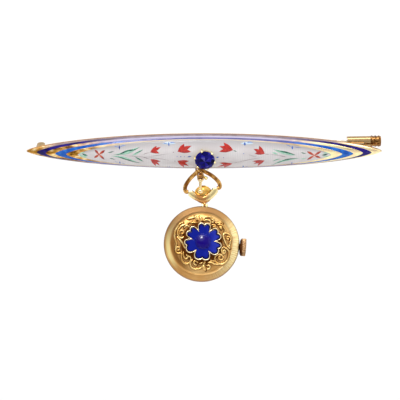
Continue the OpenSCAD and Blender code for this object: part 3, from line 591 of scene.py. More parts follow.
# every line is x = reach cos q, arc = half sign(sin q) |sin q|^2p; across runs from outer 0 to inner 1
q = np.linspace(0, 2 * pi, bar["steps"], endpoint=False)[:, None]
across = np.concatenate([np.linspace(0, 1, bar["acrossSteps"]), [1, 0]])
wireLift = bar["wireRise"] * (1 - np.abs(2 * across - 1) ** 5)
enamelLift = -bar["enamelSag"] * (1 - np.abs(2 * across - 1) ** 4)
wireLift[-2:] = enamelLift[-2:] = -bar["depth"]
for name, outer, inner, lifts, slot, finish, node in (
    ("rimBorder", "rim", "navyOut", wireLift, "gold", rimMetal, "rim_border"),
    ("outerWire", "navyIn", "blueOut", wireLift, "gold", outerGold, "outer_wire"),
    ("innerWire", "blueIn", "white", wireLift, "gold", innerGold, "inner_wire"),
    ("navyBand", "navyOut", "navyIn", enamelLift, "navy_enamel", navyEnamel, "navy_enamel"),
    ("blueBand", "blueOut", "blueIn", enamelLift, "blue_enamel", blueEnamel, "blue_enamel"),
):
    reach, half = (outlines[outer][k] * (1 - across) + outlines[inner][k] * across for k in (0, 1))
    arc = half * np.sign(np.sin(q)) * np.abs(np.sin(q)) ** (2 * bar["tipPower"])
    points = barPlace(domePoints(reach * np.cos(q), arc, lifts))
    faces = gridFaces(bar["steps"], len(across), True, True)
    makePiece(name, [(points, faces)], "bar", finish, replaced=(node,))

# white field: x = reach sin(pi u / 2), arc = half (1 - (x / reach)^2)^p v, with a wall underneath
u, v = np.linspace(-1, 1, bar["fieldAlong"])[:, None], np.linspace(-1, 1, bar["fieldAcross"])[None, :]
fieldReach, fieldHalf = outlines["white"]
fieldX = fieldReach * np.sin(pi / 2 * u)
fieldArc = fieldHalf * np.clip(1 - (fieldX / fieldReach) ** 2, 0, 1) ** bar["tipPower"]
over = domePoints(fieldX, fieldArc * v, 0.0)
under = domePoints(fieldX, fieldArc * v[:, ::-1], -bar["depth"])
field = np.concatenate([over, under], 1)
# tone from 0 at the bottom of the field to 1 at its top, for its painted shade
fieldShade = np.broadcast_to(np.concatenate([v, v[:, ::-1]], 1) * 0.5 + 0.5, field.shape[:2])
makePiece("whiteField", [(barPlace(field), gridFaces(*field.shape[:2], closeColumns=True))],
          "bar", whiteEnamel, replaced=("white_enamel",), tones=fieldShade)

# Painted strokes, charted on the drawing in hundredths of a millimetre: width, then x and y
# of each point of the stroke's middle.
strokes = {
    "mist": [
        (60, -970, 170, -810, 185, -640, 175), (60, 820, 175, 970, 185, 1130, 175),
    ],
    "blush": [
        (120, -2470, -70, -2405, -70, -2340, -70), (120, 2455, -87, 2520, -87, 2585, -87),
    ],
    "pale": [
        (48, -2864, -64, -2774, -112, -2662, -120), (26, -2864, -64, -2802, -30, -2728, -23),
        (56, -2065, -75, -1841, -45, -1654, 15, -1495, 99),
        (48, -2139, -101, -1915, -127, -1691, -194, -1486, -269), (34, -1663, -94, -1542, -45, -1393, 48),
        (26, -1598, -116, -1505, -176, -1411, -232), (34, 2702, -56, 2833, -19, 2912, -79),
        (26, 2702, -107, 2815, -116, 2899, -88), (22, 2208, -165, 2273, -165, 2352, -146),
        (48, 1564, 48, 1732, -8, 1956, -64, 2086, -88),
        (48, 1554, -312, 1732, -232, 1937, -187, 2198, -150), (30, 1545, -23, 1620, -45, 1685, -69),
        (26, 1567, -228, 1657, -187, 1741, -168),
    ],
    "green": [
        (41, -2802, -45, -2737, -75, -2662, -94), (22, -2210, -28, -2139, -19, -2046, 7),
        (22, -2177, -153, -2111, -165, -2027, -191),
        (45, -2083, -79, -1915, -56, -1766, 0, -1598, 37, -1458, 101),
        (41, -2102, -105, -1934, -131, -1766, -181, -1598, -232, -1449, -265),
        (28, -1598, -56, -1495, -15, -1387, 41), (34, -1579, -125, -1495, -172, -1389, -228),
        (17, 658, 18, 705, 7, 746, -11), (37, 2688, -86, 2768, -73, 2837, -53),
        (20, 2202, -19, 2264, -38, 2338, -49), (45, 1582, 41, 1732, 2, 1862, -26, 1974, -53, 2105, -82),
        (45, 1549, -303, 1713, -243, 1862, -194, 2012, -168, 2183, -153),
        (22, 1573, -217, 1657, -185, 1743, -170),
    ],
    "stem": [
        (9, -1841, -97, -1579, -112, -1281, -138), (11, -1411, -79, -1337, -49, -1225, -23),
        (11, -1430, -120, -1318, -153, -1219, -183), (9, -1355, -116, -1150, -105, -982, -79, -786, -53),
        (9, -1337, -131, -1057, -161, -795, -202), (17, -721, -26, -683, -19),
        (15, -687, -217, -653, -224), (11, 1373, -56, 1433, -64, 1498, -69),
        (13, 1722, -101, 1797, -110, 1890, -127), (9, 1004, -75, 1097, -101, 1190, -120),
        (11, 649, -265, 854, -224, 1078, -179, 1340, -138), (9, 1489, -69, 1638, -82, 1788, -97),
    ],
    "red": [
        (56, -1234, -23, -1139, 54, -1083, 123), (56, -1234, -23, -1097, 44, -986, 99),
        (56, -1234, -23, -1111, -17, -1019, -45), (60, -1228, -176, -1103, -213, -997, -224),
        (60, -1228, -176, -1111, -252, -1016, -314), (60, -1228, -176, -1155, -257, -1116, -325),
        (78, -609, -8, -505, 87, -459, 173), (78, -609, -8, -432, 66, -287, 127),
        (78, -609, -8, -435, 5, -295, -15), (75, -612, -213, -464, -228, -340, -213),
        (75, -612, -213, -469, -277, -351, -329), (75, -612, -213, -517, -291, -463, -362),
        (78, 660, 26, 527, 111, 440, 201), (78, 660, 26, 485, 75, 343, 116),
        (78, 660, 26, 482, 20, 337, -11), (67, 649, -273, 476, -274, 346, -254),
        (67, 649, -273, 454, -314, 294, -347), (67, 649, -273, 519, -323, 447, -370),
        (67, 1381, -56, 1294, 38, 1254, 130), (67, 1381, -56, 1237, 5, 1119, 56),
        (67, 1381, -56, 1250, -40, 1149, -53), (56, 1381, -206, 1230, -220, 1101, -221),
        (56, 1381, -206, 1243, -245, 1131, -277), (56, 1381, -206, 1287, -267, 1231, -329),
    ],
    "redDark": [
        (45, -2395, -80, -2460, -7, -2503, 43), (45, -2415, -80, -2325, -13, -2261, 30),
        (45, -2395, -60, -2473, -113, -2526, -146), (45, -2415, -60, -2339, -133, -2285, -183),
        (45, 2530, -95, 2422, -36, 2344, 0), (45, 2510, -95, 2609, -34, 2680, 4),
        (45, 2530, -80, 2430, -148, 2359, -191), (45, 2510, -80, 2607, -123, 2680, -142),
    ],
    "blue": [
        (17, -2065, 119, -1999, 106, -1940, 89), (17, -1928, 93, -1859, 129, -1781, 140),
        (19, -948, 185, -885, 183, -825, 194), (19, -799, 190, -739, 201, -653, 196),
        (26, -1938, -219, -1936, -284), (15, -1900, -254, -1822, -280), (9, -2055, -224, -1975, -247),
        (9, -861, -336, -814, -347), (17, -795, -325, -791, -381), (24, 966, 194, 1026, 209, 1116, 198),
        (15, 1862, 157, 1918, 134, 1982, 101), (11, 2034, 104, 2124, 93, 2226, 93),
        (37, 899, -312, 905, -370), (13, 951, -333, 1013, -340), (13, 1948, -291, 1986, -277),
        (30, 2017, -239, 2023, -288), (11, 2053, -262, 2105, -273), (19, 888, -53, 914, -51),
    ],
    "blueDark": [
        (32, -1938, 142, -1932, 37), (28, -812, 216, -801, 108), (19, -627, -116, -609, -116),
        (28, -548, -122, -520, -122), (20, -464, -122, -443, -122),
        (26, -388, -129, -338, -120, -287, -112), (48, 918, 209, 929, 127), (35, 2008, 127, 2014, 41),
        (32, 272, -142, 303, -135, 343, -127), (19, 429, -144, 451, -144),
    ],
}
brush = {
    "steps": 10, "taper": 1.15, "lift": 0.002, "rise": 0.012, "riseStep": 0.004, "sunk": -0.03,
    "across": (-1, -0.7, -0.3, 0.3, 0.7, 1, 0.3, -0.3),
    "sharp": {"red": 0.95, "redDark": 0.95}, "plain": 1.1,
    "broad": {"red": 1.2, "redDark": 1.25, "pale": 1.4},
}


def toField(points):
    # the arc at which the dome's surface stands at a height of the drawing: r (lean + asin(...))
    r = sectionRadius(points[:, 0])
    height = (points[:, 1] - drawing["rise"]) / r - cos(barAngle) * sin(barLean)
    return np.stack([points[:, 0], r * (barLean + np.arcsin(np.clip(height, -0.999, 0.999)))], -1)


def strokePart(chart, kind, rise):
    # half width w sin(pi t^sharp)^taper along the stroke, rise (1 - c^2) across it, its underside sunk
    row = np.array(chart) / 100
    path = toField(smoothCurve(row[1:].reshape(-1, 2), brush["steps"]))
    width = row[0] * brush["broad"].get(kind, brush["plain"])
    t = np.linspace(0, 1, len(path)) ** brush["sharp"].get(kind, 1.0)
    half = width / 2 * np.sin(pi * t).clip(0) ** brush["taper"]
    along = np.gradient(path, axis=0)
    along /= np.linalg.norm(along, axis=1, keepdims=True)
    side = np.stack([-along[:, 1], along[:, 0]], -1)
    c = np.array(brush["across"])
    lift = rise * (1 - c**2) + brush["lift"]
    lift[-2:] = brush["sunk"]
    spread = path[:, None, :] + half[:, None, None] * c[None, :, None] * side[:, None, :]
    points = domePoints(spread[..., 0], spread[..., 1], lift[None, :])
    return barPlace(points), gridFaces(len(path), len(c), closeColumns=True)


for order, kind in enumerate(strokes):
    parts = [strokePart(chart, kind, brush["rise"] + brush["riseStep"] * order) for chart in strokes[kind]]
    makePiece("painted" + kind[0].upper() + kind[1:], parts, "bar", paints[kind])
print("bar made")

# stone
stone = {
    "girdle": 3.685, "radius": 2.3, "table": 1.3, "tableRise": 0.75, "starRadius": 1.8, "starRise": 0.53,
    "edge": 0.1, "depth": 1.5, "mains": 8, "seed": 4, "at": (0.14, -0.4, 0), "colletRadius": 2.08,
    "colletTop": -0.02, "colletDepth": 1.2, "colletWall": 0.35, "clawAt": 2.4, "clawTurn": 107, "claws": 6,
    "clawRadius": 0.13, "clawSunk": 0.35, "ballRadius": 0.28, "ballAt": (-0.08, 0, 0.12),
}


def stonePlace(points):
    return barPlace(np.asarray(points, float) + stone["at"])


def ring(radius, height, count, shift=0.0):
    a = 2 * pi * (np.arange(count) + shift) / count
    return np.stack([radius * np.cos(a), radius * np.sin(a), np.full(count, stone["girdle"] + height)], -1)


m = stone["mains"]
corners = np.concatenate([
    ring(stone["table"], stone["tableRise"], m), ring(stone["starRadius"], stone["starRise"], m, 0.5),
    ring(stone["radius"], stone["edge"], 2 * m), ring(stone["radius"], 0, 2 * m),
    ring(stone["radius"] * 0.5, -stone["depth"] * 0.6, m, 0.5),
    [[0, 0, stone["girdle"] + stone["tableRise"]], [0, 0, stone["girdle"] - stone["depth"]]]])
k = np.arange(m)
nextK = (k + 1) % m
table, star, girdle, lower, deep, middle, culet = k, m + k, 2 * m, 4 * m, 6 * m + k, 7 * m, 7 * m + 1
triangles = np.concatenate([np.stack(corner, -1) for corner in (
    (np.full(m, middle), table, table[nextK]), (table, star, table[nextK]),
    (star, girdle + 2 * k, girdle + 2 * k + 1), (star, girdle + 2 * k + 1, girdle + 2 * nextK),
    (deep, lower + 2 * k, lower + 2 * k + 1), (deep, lower + 2 * k + 1, lower + 2 * nextK),
    (np.full(m, culet), deep, deep[nextK]), (deep, lower + 2 * nextK, deep[nextK]),
)])
j = np.arange(2 * m)
nextJ = (j + 1) % (2 * m)
belt = np.stack([girdle + j, lower + j, lower + nextJ, girdle + nextJ], -1)
kites = np.stack([table, star[(k - 1) % m], girdle + 2 * k, star], -1)
facets = len(triangles) + len(belt) + len(kites)
# random tones per facet, for the stone's painted reflections
tones = np.random.default_rng(stone["seed"]).uniform(0.0, 0.8, facets)
stoneAt = stonePlace(corners)
makePiece("sapphireStone", [(stoneAt, triangles), (stoneAt, np.concatenate([belt, kites]))], "bar",
          sapphireFinish(), flat=True, replaced=("sapphire",), tones=tones)

# collet: rows of (outwards from its radius, up from its top), then down the bore; each claw a bent stem
# with a bead over the stone's edge
crest = sectionRadius(np.array(0.0)) * (1 - cos(barAngle))
rim, top = stone["colletRadius"], stone["girdle"] + stone["colletTop"]
low, bore = crest - stone["colletDepth"], rim - stone["colletWall"]
collet = [(rim + out, top + up)
          for out, up in ((-0.12, -0.6), (0, -0.25), (0, -0.06), (-0.05, 0), (-0.16, -0.02))]
collet = [(rim - 0.12, low), *collet, (bore, top - 0.4), (bore, low), (rim - 0.12, low)]
setting = [turnProfile(collet, 96)]
beadArc = np.linspace(-pi / 2, pi / 2, 15)
bead = turnProfile(stone["ballRadius"] * np.stack([np.cos(beadArc), np.sin(beadArc)], -1), 24)
at, top = stone["clawAt"], stone["girdle"]
for index in range(stone["claws"]):
    turn = stone["clawTurn"] + 360 * index / stone["claws"]
    arc = np.array(at * sin(radians(turn)))
    low = float(domePoints(np.array(0.0), arc, 0.0)[2]) - stone["clawSunk"]
    stem = smoothCurve([(at - 0.1, 0, low), (at - 0.14, 0, (low + top) / 2), (at - 0.1, 0, top - 0.1),
                        (at - 0.08, 0, top + 0.1)], 6)
    points, faces = sweepTube(stem, stone["clawRadius"], up=(0, 1, 0), sides=16)
    setting += [(spin(points, "z", turn), faces),
                (spin(bead[0] + [at, 0, top] + stone["ballAt"], "z", turn), bead[1])]
makePiece("clawSetting", placedParts(setting, stonePlace), "bar", clawGold,
          replaced=("stone_setting",))
print("stone made")

# hook, bow, cradle and watch: where each hangs and how it is turned
placing = {
    "bow": (-0.85, -4.43248, -0.8), "bowTurn": 7, "lever": (-0.85, -5.65248, 0.5),
    "watch": (0.11277, -12.27359, -0.8), "watchLean": -6, "watchTurn": -4.5, "case": (0, -8.99, -0.94488),
}


def bowPlace(points):
    return toWorld(spin(points, "z", placing["bowTurn"]) + placing["bow"])


def leverPlace(points):
    return toWorld(np.asarray(points, float) + placing["lever"])


def watchPlace(points):
    leaned = spin(points, "x", placing["watchLean"])
    return toWorld(spin(leaned, "z", placing["watchTurn"]) + placing["watch"])


def casePlace(points):
    return watchPlace(np.asarray(points, float) + placing["case"])


def tapered(path, *radii):
    # radii at even steps along the path, straight between
    return np.interp(np.linspace(0, 1, len(path)), np.linspace(0, 1, len(radii)), radii)


# lever: two cheeks joined by a yoke over a throat, a rod with a ball below, the leaf in front and the
# bent gate above; the pin with its own ball is a piece by itself
lever = {
    "cheek": 0.6, "cheekHalf": 0.16, "cheekRadius": 0.64, "pin": 0.25, "pinFrom": -0.76, "ball": 0.42,
    "ballAt": (1.26, -0.42, 0.1), "tailAt": (0, -3.5, 0.3), "tailBall": 0.6, "gate": 0.19,
}
half, ball = lever["cheekHalf"], lever["ballAt"]
cheek = turnProfile([(0, half), (0.5, half), (0.6, 0.1), (lever["cheekRadius"], 0), (0.6, -0.1),
                     (0.5, -half), (0, -half)], 40)
leverParts = []
for side in (-1, 1):
    leverParts.append(alongX(cheek, side * lever["cheek"]))
    yoke = smoothCurve([(side * 0.6, -0.1, 0), (side * 0.56, -0.6, 0), (side * 0.3, -1.0, 0),
                        (0, -1.25, 0.02)], 6)
    leverParts.append(sweepTube(yoke, tapered(yoke, 0.2, 0.2, 0.26), sides=20))
throat = [(0, -0.5, 0), (0, -0.6, 0), (0, -0.86, 0), (0, -1.05, 0.01), (0, -1.4, 0.03)]
leverParts.append(sweepTube(throat, [0.3, 0.44, 0.48, 0.42, 0.3], sides=28))
pin = smoothCurve([(lever["pinFrom"], 0, 0), (0, 0, 0), (0.7, 0, 0), (ball[0] - 0.1, *ball[1:])], 8)
pinParts = [sweepTube(pin, lever["pin"]), ballPart(lever["ball"], ball)]
makePiece("leverButton", placedParts(pinParts, leverPlace), "lever", earGold)
rod = smoothCurve([(0, -0.95, 0), (-0.02, -1.8, 0.06), (-0.01, -2.6, 0.15), lever["tailAt"]], 8)
leaf = closedCurve([(0.1, 1.55), (0.36, 1.2), (0.72, 0.4), (0.8, -0.3), (0.74, -0.95), (0.6, -0.6),
                    (0.42, -0.1), (0.14, 0.9)], 8)
leafLevels = [(0, 0.85), (0.4, 0.84), (0.75, 0.8), (0.93, 0.73), (1, 0.66), (0.97, 0.59), (0, 0.59)]
gate = smoothCurve([(-0.6, 0, 0), (-0.95, 1.034, 0.14), (-0.98, 1.767, 0.28), (-0.75, 1.88, 0.3),
                    (-0.48, 1.73, 0.32), (-0.25, 1.128, 0.42), (0.05, 0.94, 0.62), (0.36, 0.79, 0.7)], 8)
leverParts += [
    sweepTube(rod, tapered(rod, 0.36, 0.31, 0.3), sides=28), ballPart(lever["tailBall"], lever["tailAt"]),
    plateParts(leaf, leafLevels), sweepTube(gate, lever["gate"], up=(0.3, 0, 1)),
]
makePiece("hookLever", placedParts(leverParts, leverPlace), "lever", leverGold,
          replaced=("hook_lever",))

# bow: a wire from one end, up through the hook and down to the other
bow = {"radius": 0.47, "boss": (2.9, -4.78), "discAt": (0, -5.42, 0), "darkFrom": (0.66, -0.1)}
wirePath = bothSides([(3.359, -4.425), (3.9, -4.3), (4.05, -3.7), (3.72, -2.76), (2.55, -1.4), (0.8, -0.14),
                      (0, 0)], 12)
makePiece("bowWire", placedParts([sweepTube(wirePath, bow["radius"], sides=32)], bowPlace), "bow",
          bowGold, replaced=("bow",))

# cradle: a boss on each end of the bow, a V of strip between them and the tongue below; the strip's
# section is w sign(cos a) |cos a|^0.6, h sign(sin a) |sin a|^0.7, with painted shadow where it meets the
# disc
neck = {"radius": 0.4, "tongue": 0.14, "earAt": 0.45, "earHalf": 0.29}
boss = turnProfile([(0, 0.46), (0.15, 0.46), (0.17, 0.58), (0.34, 0.6), (0.48, 0.55), (0.56, 0.42),
                    (0.56, -0.42), (0.48, -0.55), (0.34, -0.6), (0, -0.6)], 48)
a = np.linspace(0, 2 * pi, 40, endpoint=False)
strip = np.stack([size * np.sign(wave) * np.abs(wave) ** power
                  for size, wave, power in ((0.78, np.cos(a), 0.6), (0.6, np.sin(a), 0.7))], -1)
vPath = bothSides([(2.92, -4.7), (2.35, -5.3), (1.6, -5.9), (0.75, -6.36), (0, -6.54)], 8)
strap = sweepTube(vPath, 1.0, section=strip)
tab = closedCurve([(0.1, -0.34), (0.1, 0.34), (0.5, 0.34), (0.76, 0.2), (0.76, -0.2), (0.5, -0.34)], 6)


def neckBead(half):
    knob = mirrored([(0, 1), (0.6, 1), (0.86, 0.84), (1, 0.4)])
    return turnProfile([(neck["radius"] * r, half * h) for r, h in knob], 40)


bosses = [(boss[0] + [side * bow["boss"][0], bow["boss"][1], 0], boss[1]) for side in (-1, 1)]
tongueParts = [neckBead(neck["tongue"]), plateParts(tab, mirrored([(0, 0.2), (0.9, 0.2), (1, 0.12)]))]
cradleParts = placedParts([*bosses, strap], bowPlace)
cradleParts += placedParts([alongX(part) for part in tongueParts], watchPlace)
# painted shadow: tone 1 along the strip's top edge at the disc
cradleShadow = [np.zeros(points.size // 3) for points, faces in cradleParts]
cradleShadow[2] = np.tile((strip > bow["darkFrom"]).all(1), len(strap[0]))
makePiece("cradleStrip", cradleParts, "bow", cradleGold, replaced=("cradle",),
          tones=np.concatenate(cradleShadow))

disc = turnProfile([(0, -0.3), (0.5, -0.32), (1.0, -0.4), (1.5, -0.54), (1.9, -0.7), (2.06, -0.76),
                    (2.1, -0.8), (2.08, -0.86), (1.98, -0.92), (0, -0.92)], 120)
makePiece("buttonDisc", [(bowPlace(disc[0] + bow["discAt"]), disc[1])], "bow", buttonGold,
          replaced=("button",))
print("hook and bow made")

# watch case: the cover's line from the middle outwards, as (radius, height), then its flat underside
case = {"sides": 288, "top": 2.1, "under": 0.902, "centre": (0, 0, 2)}
caseCentre = casePlace(case["centre"]) / millimetre
coverGold, crownGold = coverFinish(caseCentre), crownFinish(caseCentre)
coverLine = smoothCurve([
    (0, 2.1), (1.3, 2.1), (2.6, 2.1), (3.6, 2.07), (4.5, 2.03), (5.3, 1.98), (5.9, 1.91), (6.3, 1.82),
    (6.6, 1.76), (6.85, 1.735), (7.1, 1.745), (7.3, 1.765), (7.5, 1.74), (7.8, 1.64), (8.1, 1.51),
    (8.3, 1.42), (8.5, 1.33), (8.62, 1.22), (8.69, 1.12), (8.70, 1.0), (8.70, 0.92)], 5)
under = [(r, case["under"]) for r in (8.5, 4, 0)]
cover = turnProfile(np.concatenate([coverLine, under]), case["sides"])
wallLine = mirrored([(7.75, -0.882), (8.45, -0.882), (8.58, -0.87), (8.68, -0.8), (8.74, -0.68),
                     (8.75, -0.5)])
wall = turnProfile([*wallLine, wallLine[0]], case["sides"])
makePiece("caseWall", placedParts([wall], casePlace), "watch", caseGold,
          replaced=("case_middle",))
foot = closedCurve([(0, -0.34), (0, 0.34), (-0.5, 0.36), (-0.59, 0), (-0.5, -0.36)], 6)
earForms = (neckBead(neck["earHalf"]), plateParts(foot, mirrored([(0, 0.21), (0.9, 0.21), (1, 0.12)])))
earParts = [alongX(turnProfile(mirrored([(0, -0.7), (0.14, -0.68)]), 24))]
for side in (-1, 1):
    earParts += [alongX(form, side * neck["earAt"]) for form in earForms]
makePiece("neckEars", placedParts(earParts, watchPlace), "watch", earGold)

# Scrolls charted on the cover in hundredths of a millimetre from its middle: x and y of each
# point of the strand's middle; a curl ends in a bead.
scrolls = {
    "strand": [
        (514, 290, 473, 233, 498, 144, 541, 57, 592, -12, 660, -70),
        (494, -38, 551, -60, 598, -84, 639, -153, 638, -253, 609, -337, 550, -405, 489, -437, 416, -425,
         331, -386, 221, -367),
        (-178, -372, -217, -447, -221, -511, -180, -571, -106, -593, -16, -577, 52, -526, 100, -440, 106,
         -404),
        (171, -417, 261, -419, 336, -449, 427, -451),
        (-441, -256, -443, -338, -419, -418, -369, -477, -304, -490, -252, -459, -221, -393, -235, -331,
         -291, -308),
        (-579, -231, -586, -141, -574, -58, -609, 39, -634, 127, -625, 237, -587, 331, -530, 417, -460,
         449),
        (-579, 114, -510, 47, -441, -21, -399, -90, -368, -142),
        (-416, 126, -468, 86, -524, 109, -565, 169, -570, 241, -523, 336, -438, 397, -349, 422),
        (-367, 538, -314, 552, -252, 575, -208, 596), (-101, 614, -61, 571, -65, 508, -90, 470),
        (-30, 520, 2, 576, 62, 617, 134, 623, 191, 591),
        (328, 457, 400, 472, 467, 423, 509, 353, 505, 290),
    ],
    "curl": [
        (515, 272, 551, 275, 617, 253, 656, 211, 662, 139, 649, 65, 632, 0),
        (660, 157, 640, 191, 602, 207, 567, 195, 565, 158, 598, 147),
        (503, -37, 463, -95, 467, -149, 516, -195, 558, -160, 537, -116, 502, -137),
        (349, -376, 326, -314, 357, -248, 418, -220, 483, -238, 514, -290, 473, -339, 416, -316, 431, -269),
        (-76, -509, -132, -486, -146, -433, -102, -411, -64, -435),
        (159, -499, 203, -487, 232, -512, 218, -558, 183, -570),
        (-398, -226, -402, -290, -359, -368, -314, -373, -290, -326, -320, -292),
        (-434, -220, -486, -260, -549, -256, -581, -204, -568, -139, -514, -126, -493, -170, -527, -200),
        (-510, 164, -532, 208, -508, 255, -454, 259, -432, 216, -466, 186),
        (-3, 522, 59, 545, 122, 541, 170, 508, 155, 471), (185, 555, 219, 575, 240, 541, 216, 503),
        (194, 437, 229, 449, 276, 435, 279, 399, 243, 396),
    ],
    "petal": [
        (76, -479, 90, -550, 140, -610), (-210, 614, -170, 572, -139, 520),
        (367, 424, 406, 400, 418, 355),
    ],
    "fine": [
        (-25, -468, 19, -451, 71, -425), (-432, 325, -390, 373, -345, 377, -307, 353),
        (-296, 444, -261, 456, -208, 469, -152, 456), (271, 498, 343, 504, 405, 518, 452, 494),
    ],
}
# radius at the middle of a strand and at its ends
scrollKinds = {"strand": (0.225, 0.15), "curl": (0.205, 0.18), "petal": (0.36, 0.12), "fine": (0.17, 0.12)}
scroll = {"flat": 2.6, "edge": 6.4, "sag": 0.0075, "seat": 0.8, "lift": 0.1, "wander": 0.05, "bead": 0.25,
          "beadRise": 0.02}


def scrollCurve(chart, steps):
    return smoothCurve(np.reshape(chart, (-1, 2)) / 100, steps)


def scrollParts(kind, chart, index):
    # radius from the end's to the middle's by sin(pi t)^0.5, standing on the cover, which falls away by
    # sag (r - flat)^2, and wandering a little in height
    path = scrollCurve(chart, 7)
    t = np.linspace(0, 1, len(path))
    full, end = scrollKinds[kind]
    radius = end + (full - end) * np.sin(pi * t).clip(0) ** 0.5
    fall = np.hypot(path[:, 0], path[:, 1]).clip(scroll["flat"], scroll["edge"]) - scroll["flat"]
    height = case["top"] - scroll["sag"] * fall**2 + radius * scroll["seat"] + scroll["lift"]
    height += scroll["wander"] * np.sin(2.1 * index + 3 * t)
    centre = np.concatenate([path, height[:, None]], 1)
    made = [sweepTube(centre, radius, sides=14)]
    if kind == "curl":
        made.append(ballPart(scroll["bead"], centre[-1] + [0, 0, scroll["beadRise"]]))
    return made


scrollWork = [part for kind, charts in scrolls.items() for index, chart in enumerate(charts)
              for part in scrollParts(kind, chart, index)]
makePiece("scrollWork", placedParts(scrollWork, casePlace), "watch", scrollGold,
          replaced=("filigree",))

# the cover's tone, for painted shade, is dark close beside the strands and all over the middle, as in a
# soldered recess
recess = {"beside": 0.48, "besideSoft": 0.3, "near": 0.8, "edge": 5.3, "edgeSoft": 0.6, "deep": 4.9,
          "deepSoft": 0.5, "share": 0.62, "frontFrom": 1.5}
strandPoints = np.concatenate([scrollCurve(chart, 4) for charts in scrolls.values() for chart in charts])
spots = cover[0].reshape(-1, 3)
apart = np.sqrt(((spots[:, None, :2] - strandPoints[None]) ** 2).sum(-1)).min(1)
reach = np.hypot(spots[:, 0], spots[:, 1])
near = recess["near"] * np.clip((recess["beside"] - apart) / recess["besideSoft"], 0, 1)
deep = np.clip((recess["deep"] - reach) / recess["deepSoft"], 0, 1)
inside = np.clip((recess["edge"] - reach) / recess["edgeSoft"], 0, 1)
inside *= recess["share"] + (1 - recess["share"]) * deep
coverShade = np.maximum(near, inside) * (spots[:, 2] > recess["frontFrom"])
makePiece("coverPlate", [(casePlace(cover[0]), cover[1])], "watch", coverGold,
          replaced=("case_back",), tones=coverShade)

# flower: radius against the share of the way from a petal's axis to the slit beside it
flower = {"at": (0.29, 0.4), "finishAt": (0.28, 0.35, 3.1), "axes": (90, 33, -21, -88.5, -162.5, -215),
          "base": 2.69, "top": 3.27, "enamel": 3.12, "dome": 3.76, "domeRadius": 1.72, "sag": 0.07,
          "sagReach": 0.22, "edgeReach": 0.6, "darkFrom": 2.6, "darkSoft": 0.7, "leastDark": 0.3}
petalLine = {"share": (0, 0.08, 0.22, 0.4, 0.56, 0.69, 0.77, 0.82, 0.88, 0.95, 1),
             "inner": (3.68, 3.84, 4.04, 4.12, 4.05, 3.84, 3.6, 3.34, 2.94, 2.54, 2.38),
             "outer": (4.0, 4.12, 4.3, 4.37, 4.3, 4.14, 3.95, 3.77, 3.5, 3.24, 3.12)}


def flowerLine(kind):
    axes = np.radians(np.array(flower["axes"], float))
    following = np.append(axes[1:], axes[0] - 2 * pi)
    previous = np.insert(axes[:-1], 0, axes[-1] + 2 * pi)
    share, radius = np.array(petalLine["share"]), np.array(petalLine[kind])
    before = axes[:, None] + (previous - axes)[:, None] / 2 * share[None, :0:-1]
    after = axes[:, None] + (following - axes)[:, None] / 2 * share[None, :-1]
    angle = np.concatenate([before, after], 1).ravel()
    r = np.tile(np.concatenate([radius[:0:-1], radius[:-1]]), len(axes))
    return closedCurve(np.stack([r * np.cos(angle), r * np.sin(angle)], -1), 7) + flower["at"]


# rim: rows of (share of the way from the inner to the outer line, height under its top)
inner, outer = flowerLine("inner"), flowerLine("outer")
share, rise = np.array([(0, -0.6), (0, -0.16), (0.06, -0.05), (0.2, 0), (0.5, 0.01), (0.8, 0),
                        (0.94, -0.06), (1, -0.18), (1, -0.58)]).T
flat = inner[None] * (1 - share[:, None, None]) + outer[None] * share[:, None, None]
height = np.broadcast_to((flower["top"] + rise)[:, None, None], (*flat.shape[:2], 1))
rimPoints = casePlace(np.concatenate([flat, height], -1))
makePiece("flowerRim", [(rimPoints, gridFaces(*flat.shape[:2], True, True))], "watch",
          rimGold, replaced=("flower_rim",))

# enamel: middle + s (edge - middle), domed over the middle: top + rise sqrt(1 - (r / dome radius)^2),
# and sagging by the rim: sag exp(-(distance / reach)^2)
s = np.concatenate([np.sin(np.linspace(0, pi / 2, 40)), [1.0]])
flat = flower["at"] + s[:, None, None] * (inner - flower["at"])[None]
r = np.hypot(*(flat - flower["at"]).transpose(2, 0, 1))
bulge = np.sqrt(np.clip(1 - (r / flower["domeRadius"]) ** 2, 0, 1))
edge = np.sqrt(((flat[:, :, None, :] - inner[None, None, ::2]) ** 2).sum(-1)).min(2)
sag = flower["sag"] * np.exp(-((edge / flower["sagReach"]) ** 2))
height = flower["enamel"] + (flower["dome"] - flower["enamel"]) * bulge - sag
height[-1] = flower["base"]
# dark along the edge, most of all at the petals' ends
outward = np.clip((r - flower["darkFrom"]) / flower["darkSoft"], flower["leastDark"], 1)
enamelTone = 1 - np.clip(1.2 - edge / flower["edgeReach"], 0, 1) * outward
enamelPoints = casePlace(np.concatenate([flat, height[..., None]], -1))
flowerGlass = flowerFinish(casePlace(flower["finishAt"]) / millimetre)
makePiece("flowerEnamel", [(enamelPoints, gridFaces(*flat.shape[:2], closeColumns=True))], "watch",
          flowerGlass, replaced=("flower_enamel",), tones=enamelTone)

# crown: a turned knob whose rim is pressed into flutes
crown = {"from": 8.84, "length": 1.42, "radius": 2.04, "flutes": 40, "flute": 0.1, "fluteFrom": 1.75,
         "fluteSoft": 0.15}


def crownWave(a, r):
    # depth (0.5 - 0.5 cos(n a))^1.5, from the face's edge outwards
    share = np.clip((r - crown["fluteFrom"]) / crown["fluteSoft"], 0, 1)
    return r - share * crown["flute"] * (0.5 - 0.5 * np.cos(crown["flutes"] * a)) ** 1.5


